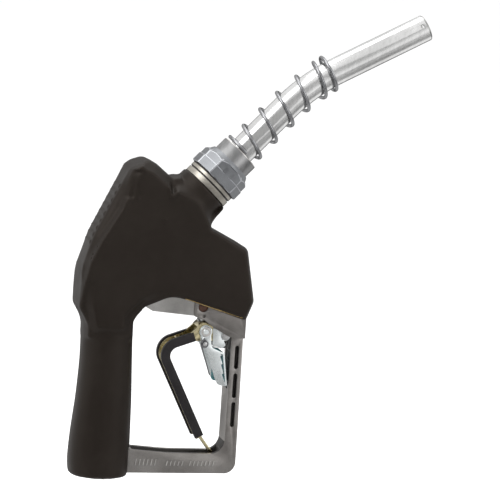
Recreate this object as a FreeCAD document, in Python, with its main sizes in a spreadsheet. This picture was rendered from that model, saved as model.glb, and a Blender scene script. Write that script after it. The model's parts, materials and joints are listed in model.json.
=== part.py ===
import FreeCAD, Part
import math
import os
import re
from FreeCAD import Placement, Rotation, Vector

# Fuel nozzle. Millimetres, +Z up along the handle, +X towards the lever and the spout.
# The origin is the centre of the hose inlet's end face, and Y = 0 is the plane of symmetry.

SIZES = {
    # handle and body casting
    "core_radius": 15.6,
    "core_height": 128.0,
    "hose_boss_radius": 19.0,
    "hose_boss_height": 22.0,
    "inlet_radius": 12.0,
    "inlet_depth": 17.8,
    "strainer_rim_radius": 12.5,
    "handle_bore_radius": 10.6,
    "handle_bore_top": 152.0,
    "strainer_radius": 10.0,
    "strainer_bore_radius": 9.2,
    "strainer_hole_radius": 1.3,
    "strainer_length": 27.0,
    "strainer_rim_height": 2.2,
    "strainer_groove_height": 2.4,
    "strainer_end_height": 0.8,
    "web_width": 21.0,
    "core_width": 39.0,
    "skirt_width": 30.0,
    "tray_width": 27.0,
    "pocket_width": 23.0,
    "neck_radius": 20.0,
    "neck_core_radius": 17.5,
    "neck_length": 45.0,
    "neck_ring_start": 8.8,
    "neck_thread_radius": 19.0,
    "neck_thread_length": 9.0,
    "neck_bore_radius": 14.0,
    "neck_relief_radius": 30.0,
    "neck_relief_length": 60.0,
    "neck_groove_width": 1.2,
    "plug_radius": 3.9,
    "plug_thickness": 1.2,
    "plug_recess_depth": 2.2,
    "small_hole_radius": 1.3,
    "small_hole_depth": 2.5,
    # jacket
    "jacket_width": 52.0,
    "jacket_wall": 3.0,
    "jacket_edge": 7.0,
    "jacket_face_inset": 4.9,
    # main valve, measured along its own slanted axis from the stem's foot
    "slide_fit": 0.05,
    "valve_boss_wall": 0.6,
    "valve_boss_length": 81.0,
    "crossover_radius": 10.0,
    "crossover_length": 60.0,
    "stem_radius": 3.0,
    "stem_length": 62.0,
    "foot_radius": 4.5,
    "foot_height": 2.0,
    "packing_radius": 7.0,
    "packing_nut_start": 8.8,
    "packing_nut_length": 8.2,
    "packing_length": 3.0,
    "valve_chamber_radius": 12.0,
    "valve_bore_radius": 13.0,
    "seat_start": 48.0,
    "seat_height": 5.0,
    "seat_bore_radius": 9.5,
    "poppet_radius": 11.5,
    "poppet_seal_height": 3.0,
    "poppet_height": 5.0,
    "poppet_nut_radius": 4.8,
    "poppet_nut_height": 3.0,
    "main_spring_radius": 9.0,
    "main_spring_wire": 0.8,
    "cap_start": 96.0,
    "cap_plug_height": 8.0,
    "cap_flange_radius": 15.0,
    "cap_flange_height": 4.0,
    # lever
    "lever_width": 17.0,
    "lever_gap": 14.0,
    "sheet": 1.5,
    "cover_width": 20.0,
    "cover_wall": 1.4,
    "cover_lip_wall": 0.7,
    "cover_lip_depth": 0.5,
    "cover_lip_height": 0.8,
    "lever_depth": 6.0,
    "lever_bend_radius": 7.0,
    "ear_radius": 7.0,
    "fulcrum_ear_radius": 3.9,
    "rivet_radius": 2.5,
    "rivet_head_radius": 4.2,
    "rivet_head_height": 1.0,
    "fulcrum_radius": 2.0,
    "fulcrum_head_radius": 3.0,
    "fulcrum_head_height": 0.9,
    "bracket_eye_radius": 3.6,
    "tail_width": 6.0,
    "bracket_width": 19.0,
    "clip_width": 19.8,
    "clip_gap": 17.6,
    "clip_head_radius": 5.0,
    "stud_radius": 1.7,
    "stud_length": 4.6,
    # trip plunger and diaphragm, along the plunger's vertical axis
    "plunger_radius": 3.1,
    "plunger_foot": 100.0,
    "plunger_collar": 138.5,
    "plunger_collar_radius": 5.3,
    "plunger_collar_height": 1.5,
    "plunger_head_radius": 4.05,
    "plunger_head_height": 7.0,
    "trip_boss_wall": 1.0,
    "trip_boss_length": 40.0,
    "latch_pin_radius": 1.4,
    "latch_pin_length": 10.0,
    "latch_ball_radius": 1.1,
    "sleeve_radius": 8.0,
    "sleeve_bore_radius": 4.15,
    "sleeve_height": 7.0,
    "diaphragm_radius": 12.6,
    "diaphragm_height": 149.6,
    "diaphragm_thickness": 1.0,
    "plate_radius": 7.8,
    "plate_thickness": 1.2,
    "trip_cap_height": 12.4,
    "trip_cap_bore_radius": 8.8,
    "trip_cap_roof": 2.3,
    "cap_screw_radius": 1.0,
    "cap_screw_head_radius": 1.8,
    "cap_screw_head_height": 1.4,
    # spout end, measured along the neck's axis from the nut's rear face
    "nut_radius": 22.3,
    "nut_band": 8.0,
    "nut_length": 15.4,
    "nut_nose": 3.5,
    "bushing_radius": 15.9,
    "bushing_end": 29.2,
    "bushing_flange_radius": 18.8,
    "bushing_flange_start": 9.3,
    "bushing_flange_height": 3.2,
    "bushing_tail_radius": 13.8,
    "bushing_tail_start": 12.0,
    "bushing_bore_radius": 12.5,
    "check_seat_bore_radius": 8.0,
    "check_seat_height": 3.0,
    "check_seal_radius": 9.6,
    "check_seal_height": 1.5,
    "check_disc_radius": 10.0,
    "check_disc_height": 2.4,
    "check_stem_radius": 2.0,
    "check_stem_length": 15.0,
    "guide_height": 2.5,
    "guide_window_radius": 3.2,
    "spout_radius": 10.32,
    "spout_wall": 1.3,
    "spout_start": 16.0,
    "spout_bend_start": 78.0,
    "spout_bend_radius": 150.0,
    "spout_bend_angle": 19.0,
    "spout_tip_length": 77.0,
    "vent_radius": 2.0,
    "vent_bore_radius": 1.3,
    "anchor_wire": 1.35,
    "anchor_radius": 13.0,
    # guard
    "guard_width": 19.0,
    "guard_channel_width": 12.0,
    "guard_slot_width": 3.2,
    "guard_pin_radius": 2.0,
    "guard_screw_radius": 1.6,
    "guard_screw_length": 11.5,
    "guard_screw_head_radius": 3.0,
    "guard_screw_head_height": 1.9,
    "guard_slot_depth": 6.0,
}

doc = FreeCAD.newDocument("fuel_nozzle")
sheet = doc.addObject("Spreadsheet::Sheet", "sizes")
for row, (alias, number) in enumerate(SIZES.items(), start=1):
    sheet.set("A%d" % row, alias)
    sheet.set("B%d" % row, str(number))
    sheet.setAlias("B%d" % row, alias)
doc.recompute()

nodes = []


def size(alias):
    """The number in the sheet's cell of this name."""
    return float(sheet.get(alias))


def bind(piece, **texts):
    """Ties properties of a piece to the sheet: bare words are the sheet's aliases."""
    for name, text in texts.items():
        piece.setExpression(name, re.sub(r"[a-z][a-z_]*", lambda word: "sizes." + word.group(), text))


def node(piece, label):
    """Names a finished sub-part, which is written to its own file."""
    piece.Label = label
    nodes.append(piece)
    return piece


class Axis:
    """A straight axis in space: places along it are a distance from its start."""

    def __init__(self, start, direction):
        self.start = Vector(*start)
        self.direction = Vector(*direction).normalize()

    def point(self, distance):
        return self.start + self.direction * distance

    def at(self, distance):
        return Placement(self.point(distance), Rotation(Vector(0, 0, 1), self.direction))


def across(x, z):
    """An axis along +Y through a point of the plane of symmetry."""
    return Axis((x, 0, z), (0, 1, 0))


def cylinder(axis, start, radius, length):
    piece = doc.addObject("Part::Cylinder", "cylinder")
    piece.Placement = axis.at(start)
    bind(piece, Radius=radius, Height=length)
    return piece


def cross_pin(x, z, radius, width):
    """A cylinder along Y, centred on the plane of symmetry; width is a python number."""
    piece = doc.addObject("Part::Cylinder", "cross_pin")
    piece.Placement = across(x, z).at(-width / 2)
    piece.Height = width
    bind(piece, Radius=radius)
    return piece


def cone(axis, start, radius, end_radius, length):
    piece = doc.addObject("Part::Cone", "cone")
    piece.Placement = axis.at(start)
    bind(piece, Radius1=radius, Radius2=end_radius, Height=length)
    return piece


def box(x0, x1, half_width, z0, z1):
    piece = doc.addObject("Part::Box", "box")
    piece.Placement.Base = Vector(x0, -half_width, z0)
    piece.Length = x1 - x0
    piece.Width = 2 * half_width
    piece.Height = z1 - z0
    return piece


def fuse(*pieces):
    if len(pieces) == 1:
        return pieces[0]
    piece = doc.addObject("Part::MultiFuse", "fuse")
    piece.Shapes = list(pieces)
    piece.Refine = True
    return piece


def cut(base, *tools):
    piece = doc.addObject("Part::Cut", "cut")
    piece.Base = base
    piece.Tool = fuse(*tools)
    piece.Refine = True
    return piece


def ring(axis, start, radius, bore, length):
    return cut(cylinder(axis, start, radius, length), cylinder(axis, start, bore, length))


def rounded_edges(corners):
    """Lines and tangent arcs through (x, z) or (x, z, radius) corners of a closed outline."""
    count = len(corners)
    spans = []
    for index, corner in enumerate(corners):
        here = Vector(corner[0], corner[1], 0)
        radius = corner[2] if len(corner) > 2 else 0
        if not radius:
            spans.append((here, None, here))
            continue
        last = corners[index - 1]
        following = corners[(index + 1) % count]
        back = (Vector(last[0], last[1], 0) - here).normalize()
        onward = (Vector(following[0], following[1], 0) - here).normalize()
        half_angle = back.getAngle(onward) / 2
        reach = radius / math.tan(half_angle)
        middle = (back + onward).normalize() * (radius / math.sin(half_angle) - radius)
        spans.append((here + back * reach, here + middle, here + onward * reach))
    edges = []
    for index, (first, middle, last) in enumerate(spans):
        if middle is not None:
            edges.append(Part.Arc(first, middle, last))
        start_of_next = spans[(index + 1) % count][0]
        if last.distanceToPoint(start_of_next) > 1e-6:
            edges.append(Part.LineSegment(last, start_of_next))
    return edges


def sketch(corners):
    piece = doc.addObject("Sketcher::SketchObject", "outline")
    piece.Placement = Placement(Vector(0, 0, 0), Rotation(Vector(1, 0, 0), 90))
    piece.addGeometry(rounded_edges(corners), False)
    return piece


def plate(corners, width):
    """An outline in the plane of symmetry, made as wide as the text says, half to each side."""
    piece = doc.addObject("Part::Extrusion", "plate")
    piece.Base = sketch(corners)
    piece.DirMode = "Normal"
    piece.Solid = True
    piece.Symmetric = True
    bind(piece, LengthFwd=width)
    return piece


def inset(corners, distance):
    """The same outline, moved inwards by a distance; its corners run clockwise seen from -Y."""
    count = len(corners)
    moved = []
    for index, corner in enumerate(corners):
        here = Vector(corner[0], corner[1], 0)
        last = corners[index - 1]
        following = corners[(index + 1) % count]
        before = (here - Vector(last[0], last[1], 0)).normalize()
        after = (Vector(following[0], following[1], 0) - here).normalize()
        normal_before = Vector(before.y, -before.x, 0)
        normal_after = Vector(after.y, -after.x, 0)
        shift = (normal_before + normal_after) * (distance / (1 + normal_before.dot(normal_after)))
        outward_turn = before.cross(after).z < 0
        radius = corner[2] if len(corner) > 2 else 0
        radius = max(0.5, radius - distance) if outward_turn else radius + distance
        moved.append((here.x + shift.x, here.y + shift.y, radius))
    return moved


def solid(shape, label):
    """A sub-part whose shape only code can make."""
    piece = doc.addObject("Part::Feature", label)
    piece.Shape = shape
    piece.Placement = Placement()
    return node(piece, label)


def coil_shape(centre_line, wire_radius, points):
    """A round wire swept along a smooth curve through computed points."""
    curve = Part.BSplineCurve()
    curve.interpolate([centre_line(index / (points - 1)) for index in range(points)])
    path = Part.Wire(curve.toShape())
    tangent = curve.tangent(curve.FirstParameter)[0]
    section = Part.Wire(Part.Circle(curve.value(curve.FirstParameter), tangent, wire_radius).toShape())
    return Part.Wire(path).makePipeShell([section], True, True)


def helix_spring(axis, start, end, radius, wire, turns):
    """A compression spring: a closed turn at each end and open turns between them."""
    across_axis = axis.at(0).Rotation.multVec(Vector(1, 0, 0))
    side_axis = axis.at(0).Rotation.multVec(Vector(0, 1, 0))
    closed = 2 * wire * 1.08
    total = turns + 2

    def place(share):
        turn = share * total
        if turn < 1:
            rise = closed * turn
        elif turn > total - 1:
            rise = (end - start - 2 * wire) - closed * (total - turn)
        else:
            rise = closed + (turn - 1) / turns * (end - start - 2 * wire - 2 * closed)
        angle = 2 * math.pi * turn
        return (axis.point(start + wire + rise) + across_axis * (radius * math.cos(angle))
                + side_axis * (radius * math.sin(angle)))

    return coil_shape(place, wire, int(total * 12) + 1)


# ---------------------------------------------------------------- datums
VALVE_TILT = math.radians(25)
valve = Axis((75.2, 0, 121.9), (-math.sin(VALVE_TILT), 0, math.cos(VALVE_TILT)))
NECK_ANGLE = math.radians(47)
neck = Axis((75.55, 0, 229.45), (math.cos(NECK_ANGLE), 0, math.sin(NECK_ANGLE)))
handle = Axis((0, 0, 0), (0, 0, 1))
RIVET = (75.4, 113.8)
FULCRUM = (91.0, 110.5)
trip = Axis((FULCRUM[0], 0, 0), (0, 0, 1))
CASTING_FLOOR = 110.0
THROUGH = 30.0

# ---------------------------------------------------------------- body outlines
BODY_OUTLINE = [
    (-16.4, 117, 8), (-24.9, 131, 8), (-24.3, 160, 30), (-16.5, 186, 60), (8.5, 238, 8), (21.5, 244.6, 5),
    (28.5, 241.5, 6), (42.0, 230.5, 4), (48.5, 232, 4), (54.5, 237, 2), (83.5, 210, 3), (71.0, 195.5, 3),
    (102.5, 179.5, 6), (110.2, 139, 6), (104.5, 123.8, 2), (60, 138.5, 12), (45, 142, 18), (26, 132.5, 10),
    (16.8, 121, 4), (16.4, 109, 0.5), (-16.4, 109, 0.5),
]
web_outline = inset(BODY_OUTLINE, size("jacket_wall"))
CORE_OUTLINE = [
    (-10, 118, 3), (-14, 134, 8), (-14, 160, 20), (-6, 186, 40), (13, 226, 6), (24, 230.5, 6), (36, 219, 6),
    (49, 212, 6), (60, 203, 6), (64, 186, 6), (93, 171, 6), (98.5, 138, 4), (60, 150, 8), (45, 153, 8),
    (22, 142, 8), (8, 128, 3), (8, 118, 3),
]

# ---------------------------------------------------------------- valve body casting
SKIRT = [(64, 158), (64, 126.5, 2), (72.5, 123.5, 3), (79.5, 118.3, 2), (92, 111.4, 2), (96, CASTING_FLOOR),
         (105.2, CASTING_FLOOR), (105.2, 142), (98, 158)]
TRAY = [(30, 156), (24, 146), (24, 134), (32, 129.5, 3), (66, 126.4), (66, 156)]
COLLAR_START = -24
VALVE_BOSS_START = 30
TRIP_BOSS_START = 124


def casting_outside():
    """The valve body's outer form: handle, web and core inside the jacket, valve and neck bosses."""
    middle = cut(fuse(plate(web_outline, "web_width"), plate(CORE_OUTLINE, "core_width")),
                 cylinder(neck, COLLAR_START, "neck_relief_radius", "neck_relief_length"))
    return fuse(
        middle,
        cylinder(handle, 0, "core_radius", "core_height"),
        cylinder(handle, 0, "hose_boss_radius", "hose_boss_height"),
        cylinder(valve, VALVE_BOSS_START, "cap_flange_radius + valve_boss_wall", "valve_boss_length"),
        plate(SKIRT, "skirt_width"),
        plate(TRAY, "tray_width"),
        cylinder(trip, TRIP_BOSS_START, "diaphragm_radius + trip_boss_wall", "trip_boss_length"),
        cylinder(neck, -size("neck_length"), "neck_core_radius", "neck_length"),
        cylinder(neck, -size("neck_ring_start"), "neck_radius", "neck_ring_start"))


crossover = Axis((0, 0, 150), (58, 0, 8))
LEVER_POCKETS = ((44.0, 86.5, 131.0), (86.0, 96.0, 124.0))
GUARD_TONGUE = (97.0, 103.6)
TONGUE_TOP = 136.0
GUARD_PIN = (100.3, 130.0)

casting_hollows = [
    cylinder(handle, 0, "inlet_radius", "inlet_depth"),
    cylinder(handle, 0, "handle_bore_radius", "handle_bore_top"),
    cylinder(handle, size("inlet_depth"), "strainer_rim_radius", "strainer_groove_height"),
    cylinder(crossover, -2, "crossover_radius", "crossover_length"),
    cylinder(valve, 6, "packing_radius", "packing_nut_length + packing_length + 2.8"),
    cylinder(valve, 19.9, "stem_radius + slide_fit", "9"),
    cylinder(valve, 28, "valve_chamber_radius", "seat_start - 27"),
    cylinder(valve, size("seat_start"), "valve_bore_radius", "80"),
    cylinder(neck, -44, "neck_bore_radius", "80"),
    *[box(start, end, size("pocket_width") / 2, CASTING_FLOOR - 10, top) for start, end, top in LEVER_POCKETS],
    cylinder(trip, 120, "plunger_radius + slide_fit", "12"),
    cylinder(trip, 128, "sleeve_radius", "diaphragm_height - 128"),
    cylinder(trip, size("diaphragm_height") - 2, "trip_cap_bore_radius", "3"),
    cylinder(trip, size("diaphragm_height"), "diaphragm_radius + 0.1", "60"),
    box(GUARD_TONGUE[0], GUARD_TONGUE[1], 6, 100, TONGUE_TOP),
    cross_pin(*GUARD_PIN, "guard_pin_radius", THROUGH),
]
cap_seat = cylinder(valve, size("cap_start") + size("cap_plug_height"), "cap_flange_radius", "40")
PLUG = (71.0, 133.6)
plug_axis = Axis((PLUG[0], -size("skirt_width") / 2, PLUG[1]), (0, 1, 0))
plug_recess = cylinder(plug_axis, 0, "plug_radius", "plug_recess_depth")
small_hole_axis = Axis((71.8, -size("skirt_width") / 2, 126.6), (0, 1, 0))
small_hole = cylinder(small_hole_axis, 0, "small_hole_radius", "small_hole_depth")
SCREW_CIRCLE = 10.7
SCREW_ANGLES = [45, 135, 225, 315]


def trip_screw_axes():
    return [Axis((FULCRUM[0] + SCREW_CIRCLE * math.cos(math.radians(angle)),
                  SCREW_CIRCLE * math.sin(math.radians(angle)), 0), (0, 0, 1)) for angle in SCREW_ANGLES]


TRIP_SCREW_FOOT = 142


def trip_screw_holes():
    return [cylinder(axis, TRIP_SCREW_FOOT - 1, "cap_screw_radius", "30") for axis in trip_screw_axes()]



guard_screw_axis = Axis((26, 0, 12.5), (-1, 0, 0))
thread_ring = cylinder(neck, 0, "neck_thread_radius", "neck_thread_length")
neck_groove = cut(cylinder(neck, -4.6, "neck_radius + 1", "neck_groove_width"),
                  cylinder(neck, -5, "neck_radius - 1", "2"))
body = cut(fuse(casting_outside(), thread_ring), *casting_hollows, cap_seat, plug_recess, small_hole,
           neck_groove, cylinder(guard_screw_axis, -1, "guard_screw_radius", "16"), *trip_screw_holes())
node(body, "valve_body")

# ---------------------------------------------------------------- lever guard
GUARD_OUTER_X = 105.2
GUARD_INNER_X = 96.0
GUARD_BOTTOM = 3.1
GUARD_OUTLINE = [
    (12, GUARD_BOTTOM), (12, 21.6), (24, 21), (52, 18.7, 200), (GUARD_INNER_X, 18.4, 11),
    (GUARD_INNER_X, CASTING_FLOOR), (GUARD_TONGUE[0], CASTING_FLOOR), (GUARD_TONGUE[0], CASTING_FLOOR + 2),
    (GUARD_TONGUE[1], CASTING_FLOOR + 2), (GUARD_TONGUE[1], CASTING_FLOOR), (GUARD_OUTER_X, CASTING_FLOOR),
    (GUARD_OUTER_X + 0.6, GUARD_BOTTOM, 9),
]
tongue = box(GUARD_TONGUE[0], GUARD_TONGUE[1], 6, CASTING_FLOOR - 4, TONGUE_TOP)
tongue_clear = box(90, 110, 20, CASTING_FLOOR, CASTING_FLOOR + 10)
channel = plate([(24, 30), (24, 7.2, 2), (90, 7.2, 4), (93.2, 14, 6), (93.2, 40)], "guard_channel_width")
slots = []
slot_left = 99.4
slot_right = slot_left + size("guard_slot_width")
slot_round = size("guard_slot_width") / 2 - 0.01
for low, high in ((39.6, 59.2), (62.4, 81.6), (85.0, 103.2)):
    for side in (-1, 1):
        slot = plate([(slot_left, low, slot_round), (slot_left, high, slot_round),
                      (slot_right, high, slot_round), (slot_right, low, slot_round)], "guard_slot_depth * 2")
        slot.Placement.Base = Vector(0, side * size("guard_width") / 2, 0)
        slots.append(slot)
latch_recess = box(GUARD_INNER_X - 1, 98.4, 6.5, 69, 108)
guard = cut(fuse(cut(plate(GUARD_OUTLINE, "guard_width"), tongue_clear), tongue), channel, latch_recess, *slots,
            cross_pin(*GUARD_PIN, "guard_pin_radius", THROUGH),
            cylinder(handle, -1, "hose_boss_radius", "40"),
            cylinder(guard_screw_axis, -10, "guard_screw_radius", "30"))
node(guard, "lever_guard")

LATCH_TEETH = 4
latch_corners = [(98.4, 70), (96.9, 70)]
for step in range(LATCH_TEETH):
    tooth = 74 + step * 8
    latch_corners += [(96.9, tooth), (96.2, tooth + 1), (96.9, tooth + 4)]
latch_corners += [(96.9, 107), (98.4, 107)]
node(plate(latch_corners, "guard_channel_width"), "latch_strip")
node(cross_pin(*GUARD_PIN, "guard_pin_radius", 29.6), "guard_pin")
node(fuse(cylinder(guard_screw_axis, 0, "guard_screw_head_radius", "guard_screw_head_height"),
          cylinder(guard_screw_axis, 1.5, "guard_screw_radius", "guard_screw_length")), "guard_screw")
node(cylinder(plug_axis, 1.0, "plug_radius", "plug_thickness"), "side_plug")

# ---------------------------------------------------------------- hand insulator jacket
def outline_at(corners, y):
    section = sketch(corners)
    section.Placement.Base = Vector(0, y, 0)
    return section


half_width = size("jacket_width") / 2
shoulder = half_width - size("jacket_edge")
face_outline = inset(BODY_OUTLINE, size("jacket_face_inset"))


def rounded_side(side):
    """The part of the jacket's body from its flat middle out to one smaller side face."""
    loft = doc.addObject("Part::Loft", "rounded_side")
    loft.Sections = [outline_at(BODY_OUTLINE, side * shoulder), outline_at(face_outline, side * half_width)]
    loft.Solid = True
    loft.Ruled = True
    return loft


jacket_block = plate(BODY_OUTLINE, "jacket_width - jacket_edge * 2")

grip_sections = []
for height, across_radius, side_radius, centre_x in (
        (0, 22.2, 20.5, 0.1), (3, 23.5, 21.6, -0.3), (12, 23.6, 21.6, -0.6), (32, 22.9, 21.2, -0.2),
        (60, 21.2, 20.4, 0.9), (88, 19.8, 19.6, 1.0), (124, 19.3, 19.2, 0.0)):
    section = doc.addObject("Part::Ellipse", "grip_section")
    section.MajorRadius = across_radius
    section.MinorRadius = side_radius
    section.Placement.Base = Vector(centre_x, 0, height)
    grip_sections.append(section)
grip = doc.addObject("Part::Loft", "grip")
grip.Sections = grip_sections
grip.Solid = True
jacket = cut(fuse(jacket_block, rounded_side(-1), rounded_side(1), grip), casting_outside(),
             box(12, 40, 9.5, -1, 22), cylinder(handle, -1, "hose_boss_radius", "3"))
node(jacket, "jacket")

# ---------------------------------------------------------------- main valve
seat_start = size("seat_start")
poppet_start = seat_start + size("seat_height")
node(ring(valve, seat_start, "valve_bore_radius", "seat_bore_radius", "seat_height"), "valve_seat")
node(ring(valve, size("packing_nut_start"), "packing_radius", "stem_radius + slide_fit", "packing_nut_length"),
     "packing_nut")
node(ring(valve, size("packing_nut_start") + size("packing_nut_length"), "packing_radius", "stem_radius + 0.02",
          "packing_length"), "packing_rings")
node(fuse(cylinder(valve, 0, "foot_radius", "foot_height"), cylinder(valve, 1, "stem_radius", "stem_length + 2")),
     "valve_stem")
node(ring(valve, poppet_start, "poppet_radius", "stem_radius", "poppet_seal_height"), "poppet_seal")
poppet_body_start = poppet_start + size("poppet_seal_height")
node(ring(valve, poppet_body_start, "poppet_radius", "stem_radius", "poppet_height"), "poppet")
node(ring(valve, poppet_body_start + size("poppet_height"), "poppet_nut_radius", "stem_radius",
          "poppet_nut_height"), "poppet_nut")
solid(helix_spring(valve, poppet_body_start + size("poppet_height") + 0.05, size("cap_start") - 0.05,
                   size("main_spring_radius"), size("main_spring_wire"), 5), "main_spring")
cap_top = size("cap_start") + size("cap_plug_height")
node(fuse(cylinder(valve, size("cap_start"), "valve_bore_radius", "cap_plug_height"),
          cylinder(valve, cap_top, "cap_flange_radius", "cap_flange_height"),
          cylinder(valve, cap_top + 3, "cap_flange_radius * 0.5", "4")), "poppet_cap")

# ---------------------------------------------------------------- trip plunger and diaphragm
collar = size("plunger_collar")
head_start = collar + size("plunger_collar_height")
BALL_HEIGHT = 144.5
BALL_CENTRE = 2.75
ball_axes = [Axis((FULCRUM[0] + BALL_CENTRE * math.cos(math.radians(angle)),
                   BALL_CENTRE * math.sin(math.radians(angle)), BALL_HEIGHT), (0, 0, 1))
             for angle in (0, 120, 240)]
ball_pockets = []
for axis in ball_axes:
    outward = Axis(axis.start, axis.start - Vector(FULCRUM[0], 0, BALL_HEIGHT))
    ball_pockets.append(cylinder(outward, -1.3, "latch_ball_radius", "4"))
plunger = cut(
    fuse(cylinder(trip, size("plunger_foot"), "plunger_radius", "plunger_collar - plunger_foot + 1"),
         cylinder(trip, collar, "plunger_collar_radius", "plunger_collar_height"),
         cylinder(trip, head_start, "plunger_head_radius", "plunger_head_height")),
    cylinder(trip, head_start + 2, "latch_pin_radius + 0.15", "10"),
    cross_pin(FULCRUM[0], FULCRUM[1], "fulcrum_radius", THROUGH), *ball_pockets)
node(plunger, "trip_plunger")
node(fuse(cross_pin(FULCRUM[0], FULCRUM[1], "fulcrum_radius", 20.0),
          *[cylinder(across(*FULCRUM), start, "fulcrum_head_radius", "fulcrum_head_height")
            for start in (-10.5, 9.6)]),
     "fulcrum_pin")
balls = []
for axis in ball_axes:
    ball = doc.addObject("Part::Sphere", "ball")
    ball.Placement.Base = axis.start
    bind(ball, Radius="latch_ball_radius - 0.03")
    balls.append(ball)
ball_group = doc.addObject("Part::Compound", "ball_group")
ball_group.Links = balls
node(ball_group, "latch_balls")
sleeve_start = head_start + 0.5
node(ring(trip, sleeve_start, "sleeve_radius", "sleeve_bore_radius", "sleeve_height"), "latch_sleeve")
solid(helix_spring(trip, 128.05, collar - 0.1, 4.5, 0.5, 4), "plunger_spring")
diaphragm_height = size("diaphragm_height")
membrane = cut(ring(trip, diaphragm_height, "diaphragm_radius", "latch_pin_radius + 0.8", "diaphragm_thickness"),
               *trip_screw_holes())
node(membrane, "diaphragm")
plate_height = diaphragm_height + size("diaphragm_thickness") + 0.15
node(cylinder(trip, plate_height - 8, "latch_pin_radius", "latch_pin_length"), "latch_pin")
node(ring(trip, plate_height, "plate_radius", "latch_pin_radius", "plate_thickness"), "diaphragm_plate")
cap_base = diaphragm_height + size("diaphragm_thickness")
trip_cap = cut(cylinder(trip, cap_base, "diaphragm_radius", "trip_cap_height"),
               cylinder(trip, cap_base, "trip_cap_bore_radius", "trip_cap_height - trip_cap_roof"),
               *trip_screw_holes())
node(trip_cap, "diaphragm_cap")
spring_top = cap_base + size("trip_cap_height") - size("trip_cap_roof") - 0.05
solid(helix_spring(trip, plate_height + size("plate_thickness") + 0.05, spring_top, 6.0, 0.45, 4),
      "diaphragm_spring")
screws = []
cap_roof = cap_base + size("trip_cap_height")
SCREW_LENGTH = "diaphragm_height + diaphragm_thickness + trip_cap_height - %d" % TRIP_SCREW_FOOT
for axis in trip_screw_axes():
    screws.append(fuse(cylinder(axis, TRIP_SCREW_FOOT, "cap_screw_radius", SCREW_LENGTH),
                       cylinder(axis, cap_roof, "cap_screw_head_radius", "cap_screw_head_height")))
screw_group = doc.addObject("Part::Compound", "screw_group")
screw_group.Links = screws
node(screw_group, "cap_screws")

# ---------------------------------------------------------------- inlet strainer
STRAINER_START = 18.0
FIRST_HOLE = 24.0
HOLE_SPACING = 4.4
strainer_top = STRAINER_START + size("strainer_length")
strainer_wall = ring(handle, STRAINER_START, "strainer_radius", "strainer_bore_radius", "strainer_length")
strainer_rim = ring(handle, STRAINER_START, "strainer_rim_radius", "strainer_bore_radius", "strainer_rim_height")
strainer_end = cylinder(handle, strainer_top - 0.5, "strainer_radius", "strainer_end_height")
strainer_holes = []
for level in range(5):
    for turn in range(6):
        angle = math.radians(60 * turn + 30 * (level % 2))
        hole_axis = Axis((0, 0, FIRST_HOLE + HOLE_SPACING * level), (math.cos(angle), math.sin(angle), 0))
        strainer_holes.append(cylinder(hole_axis, 5, "strainer_hole_radius", "8"))
node(cut(fuse(strainer_wall, strainer_rim, strainer_end), *strainer_holes), "inlet_strainer")

# ---------------------------------------------------------------- spout nut, bushing and check valve
NUT_CORNERS = [-90 + corner for corner in (31, 70, 110, 149, 211, 250, 290, 329)]


def nut_prism(radius, start, length):
    """An eight-sided prism about the neck's axis with two wide wrench flats."""
    place = neck.at(start)
    points = []
    for corner in NUT_CORNERS:
        angle = math.radians(corner)
        points.append(place.multVec(Vector(radius * math.cos(angle), radius * math.sin(angle), 0)))
    face = Part.Face(Part.makePolygon(points + [points[0]]))
    return face.extrude(neck.direction * length)


nut_radius = size("nut_radius")
nut_blank = doc.addObject("Part::Feature", "nut_blank")
nut_blank.Shape = nut_prism(nut_radius, 0.2, size("nut_band")).fuse(
    nut_prism(nut_radius - 0.6, 0.2, size("nut_length") - 0.2)).removeSplitter()
nut_cone = fuse(cone(neck, 11.5, "nut_radius + 1.5", "nut_radius - 2.5", "3.9"),
                cylinder(neck, 0, "nut_radius + 1.5", "11.6"))
nut_shaped = doc.addObject("Part::Common", "nut_shaped")
nut_shaped.Base = nut_blank
nut_shaped.Tool = nut_cone
nut = cut(fuse(nut_shaped, cone(neck, size("nut_length") - 0.1, "nut_radius - 3.2", "nut_radius - 5.2", "nut_nose")),
          cylinder(neck, 0, "neck_thread_radius", "neck_thread_length + 3.5"),
          cylinder(neck, 0, "bushing_radius", "40"))
node(nut, "spout_nut")

bushing = cut(
    fuse(cylinder(neck, -size("bushing_tail_start"), "bushing_tail_radius", "30"),
         cylinder(neck, size("bushing_flange_start"), "bushing_flange_radius", "bushing_flange_height - 0.1"),
         cylinder(neck, 10, "bushing_radius", "bushing_end - 10")),
    cylinder(neck, -13, "bushing_bore_radius", "22"),
    cylinder(neck, 8, "spout_radius - spout_wall", "9"),
    cylinder(neck, size("spout_start"), "spout_radius", "20"))
node(bushing, "spout_bushing")
node(ring(neck, -5.0, "neck_bore_radius", "bushing_tail_radius", "2"), "bushing_seal")
CHECK_SEAT = -12.0
node(ring(neck, CHECK_SEAT, "bushing_bore_radius", "check_seat_bore_radius", "check_seat_height"), "check_seat")
seal_start = CHECK_SEAT + size("check_seat_height") + 0.05
disc_start = seal_start + size("check_seal_height")
node(ring(neck, seal_start, "check_seal_radius", "check_stem_radius", "check_seal_height"), "check_seal")
node(fuse(cylinder(neck, disc_start, "check_disc_radius", "check_disc_height"),
          cylinder(neck, seal_start, "check_stem_radius", "check_stem_length")), "check_poppet")
spider_windows = []
for turn in range(4):
    angle = math.radians(90 * turn)
    side = neck.at(0).Rotation.multVec(Vector(math.cos(angle), math.sin(angle), 0))
    window = Axis(neck.start + side * 7.2, neck.direction)
    spider_windows.append(cylinder(window, 2, "guide_window_radius", "6"))
node(cut(ring(neck, 4.0, "bushing_bore_radius", "check_stem_radius + slide_fit", "guide_height"), *spider_windows),
     "check_guide")
solid(helix_spring(neck, disc_start + size("check_disc_height") + 0.05, 3.95, 4.2, 0.5, 3), "check_spring")

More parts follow.
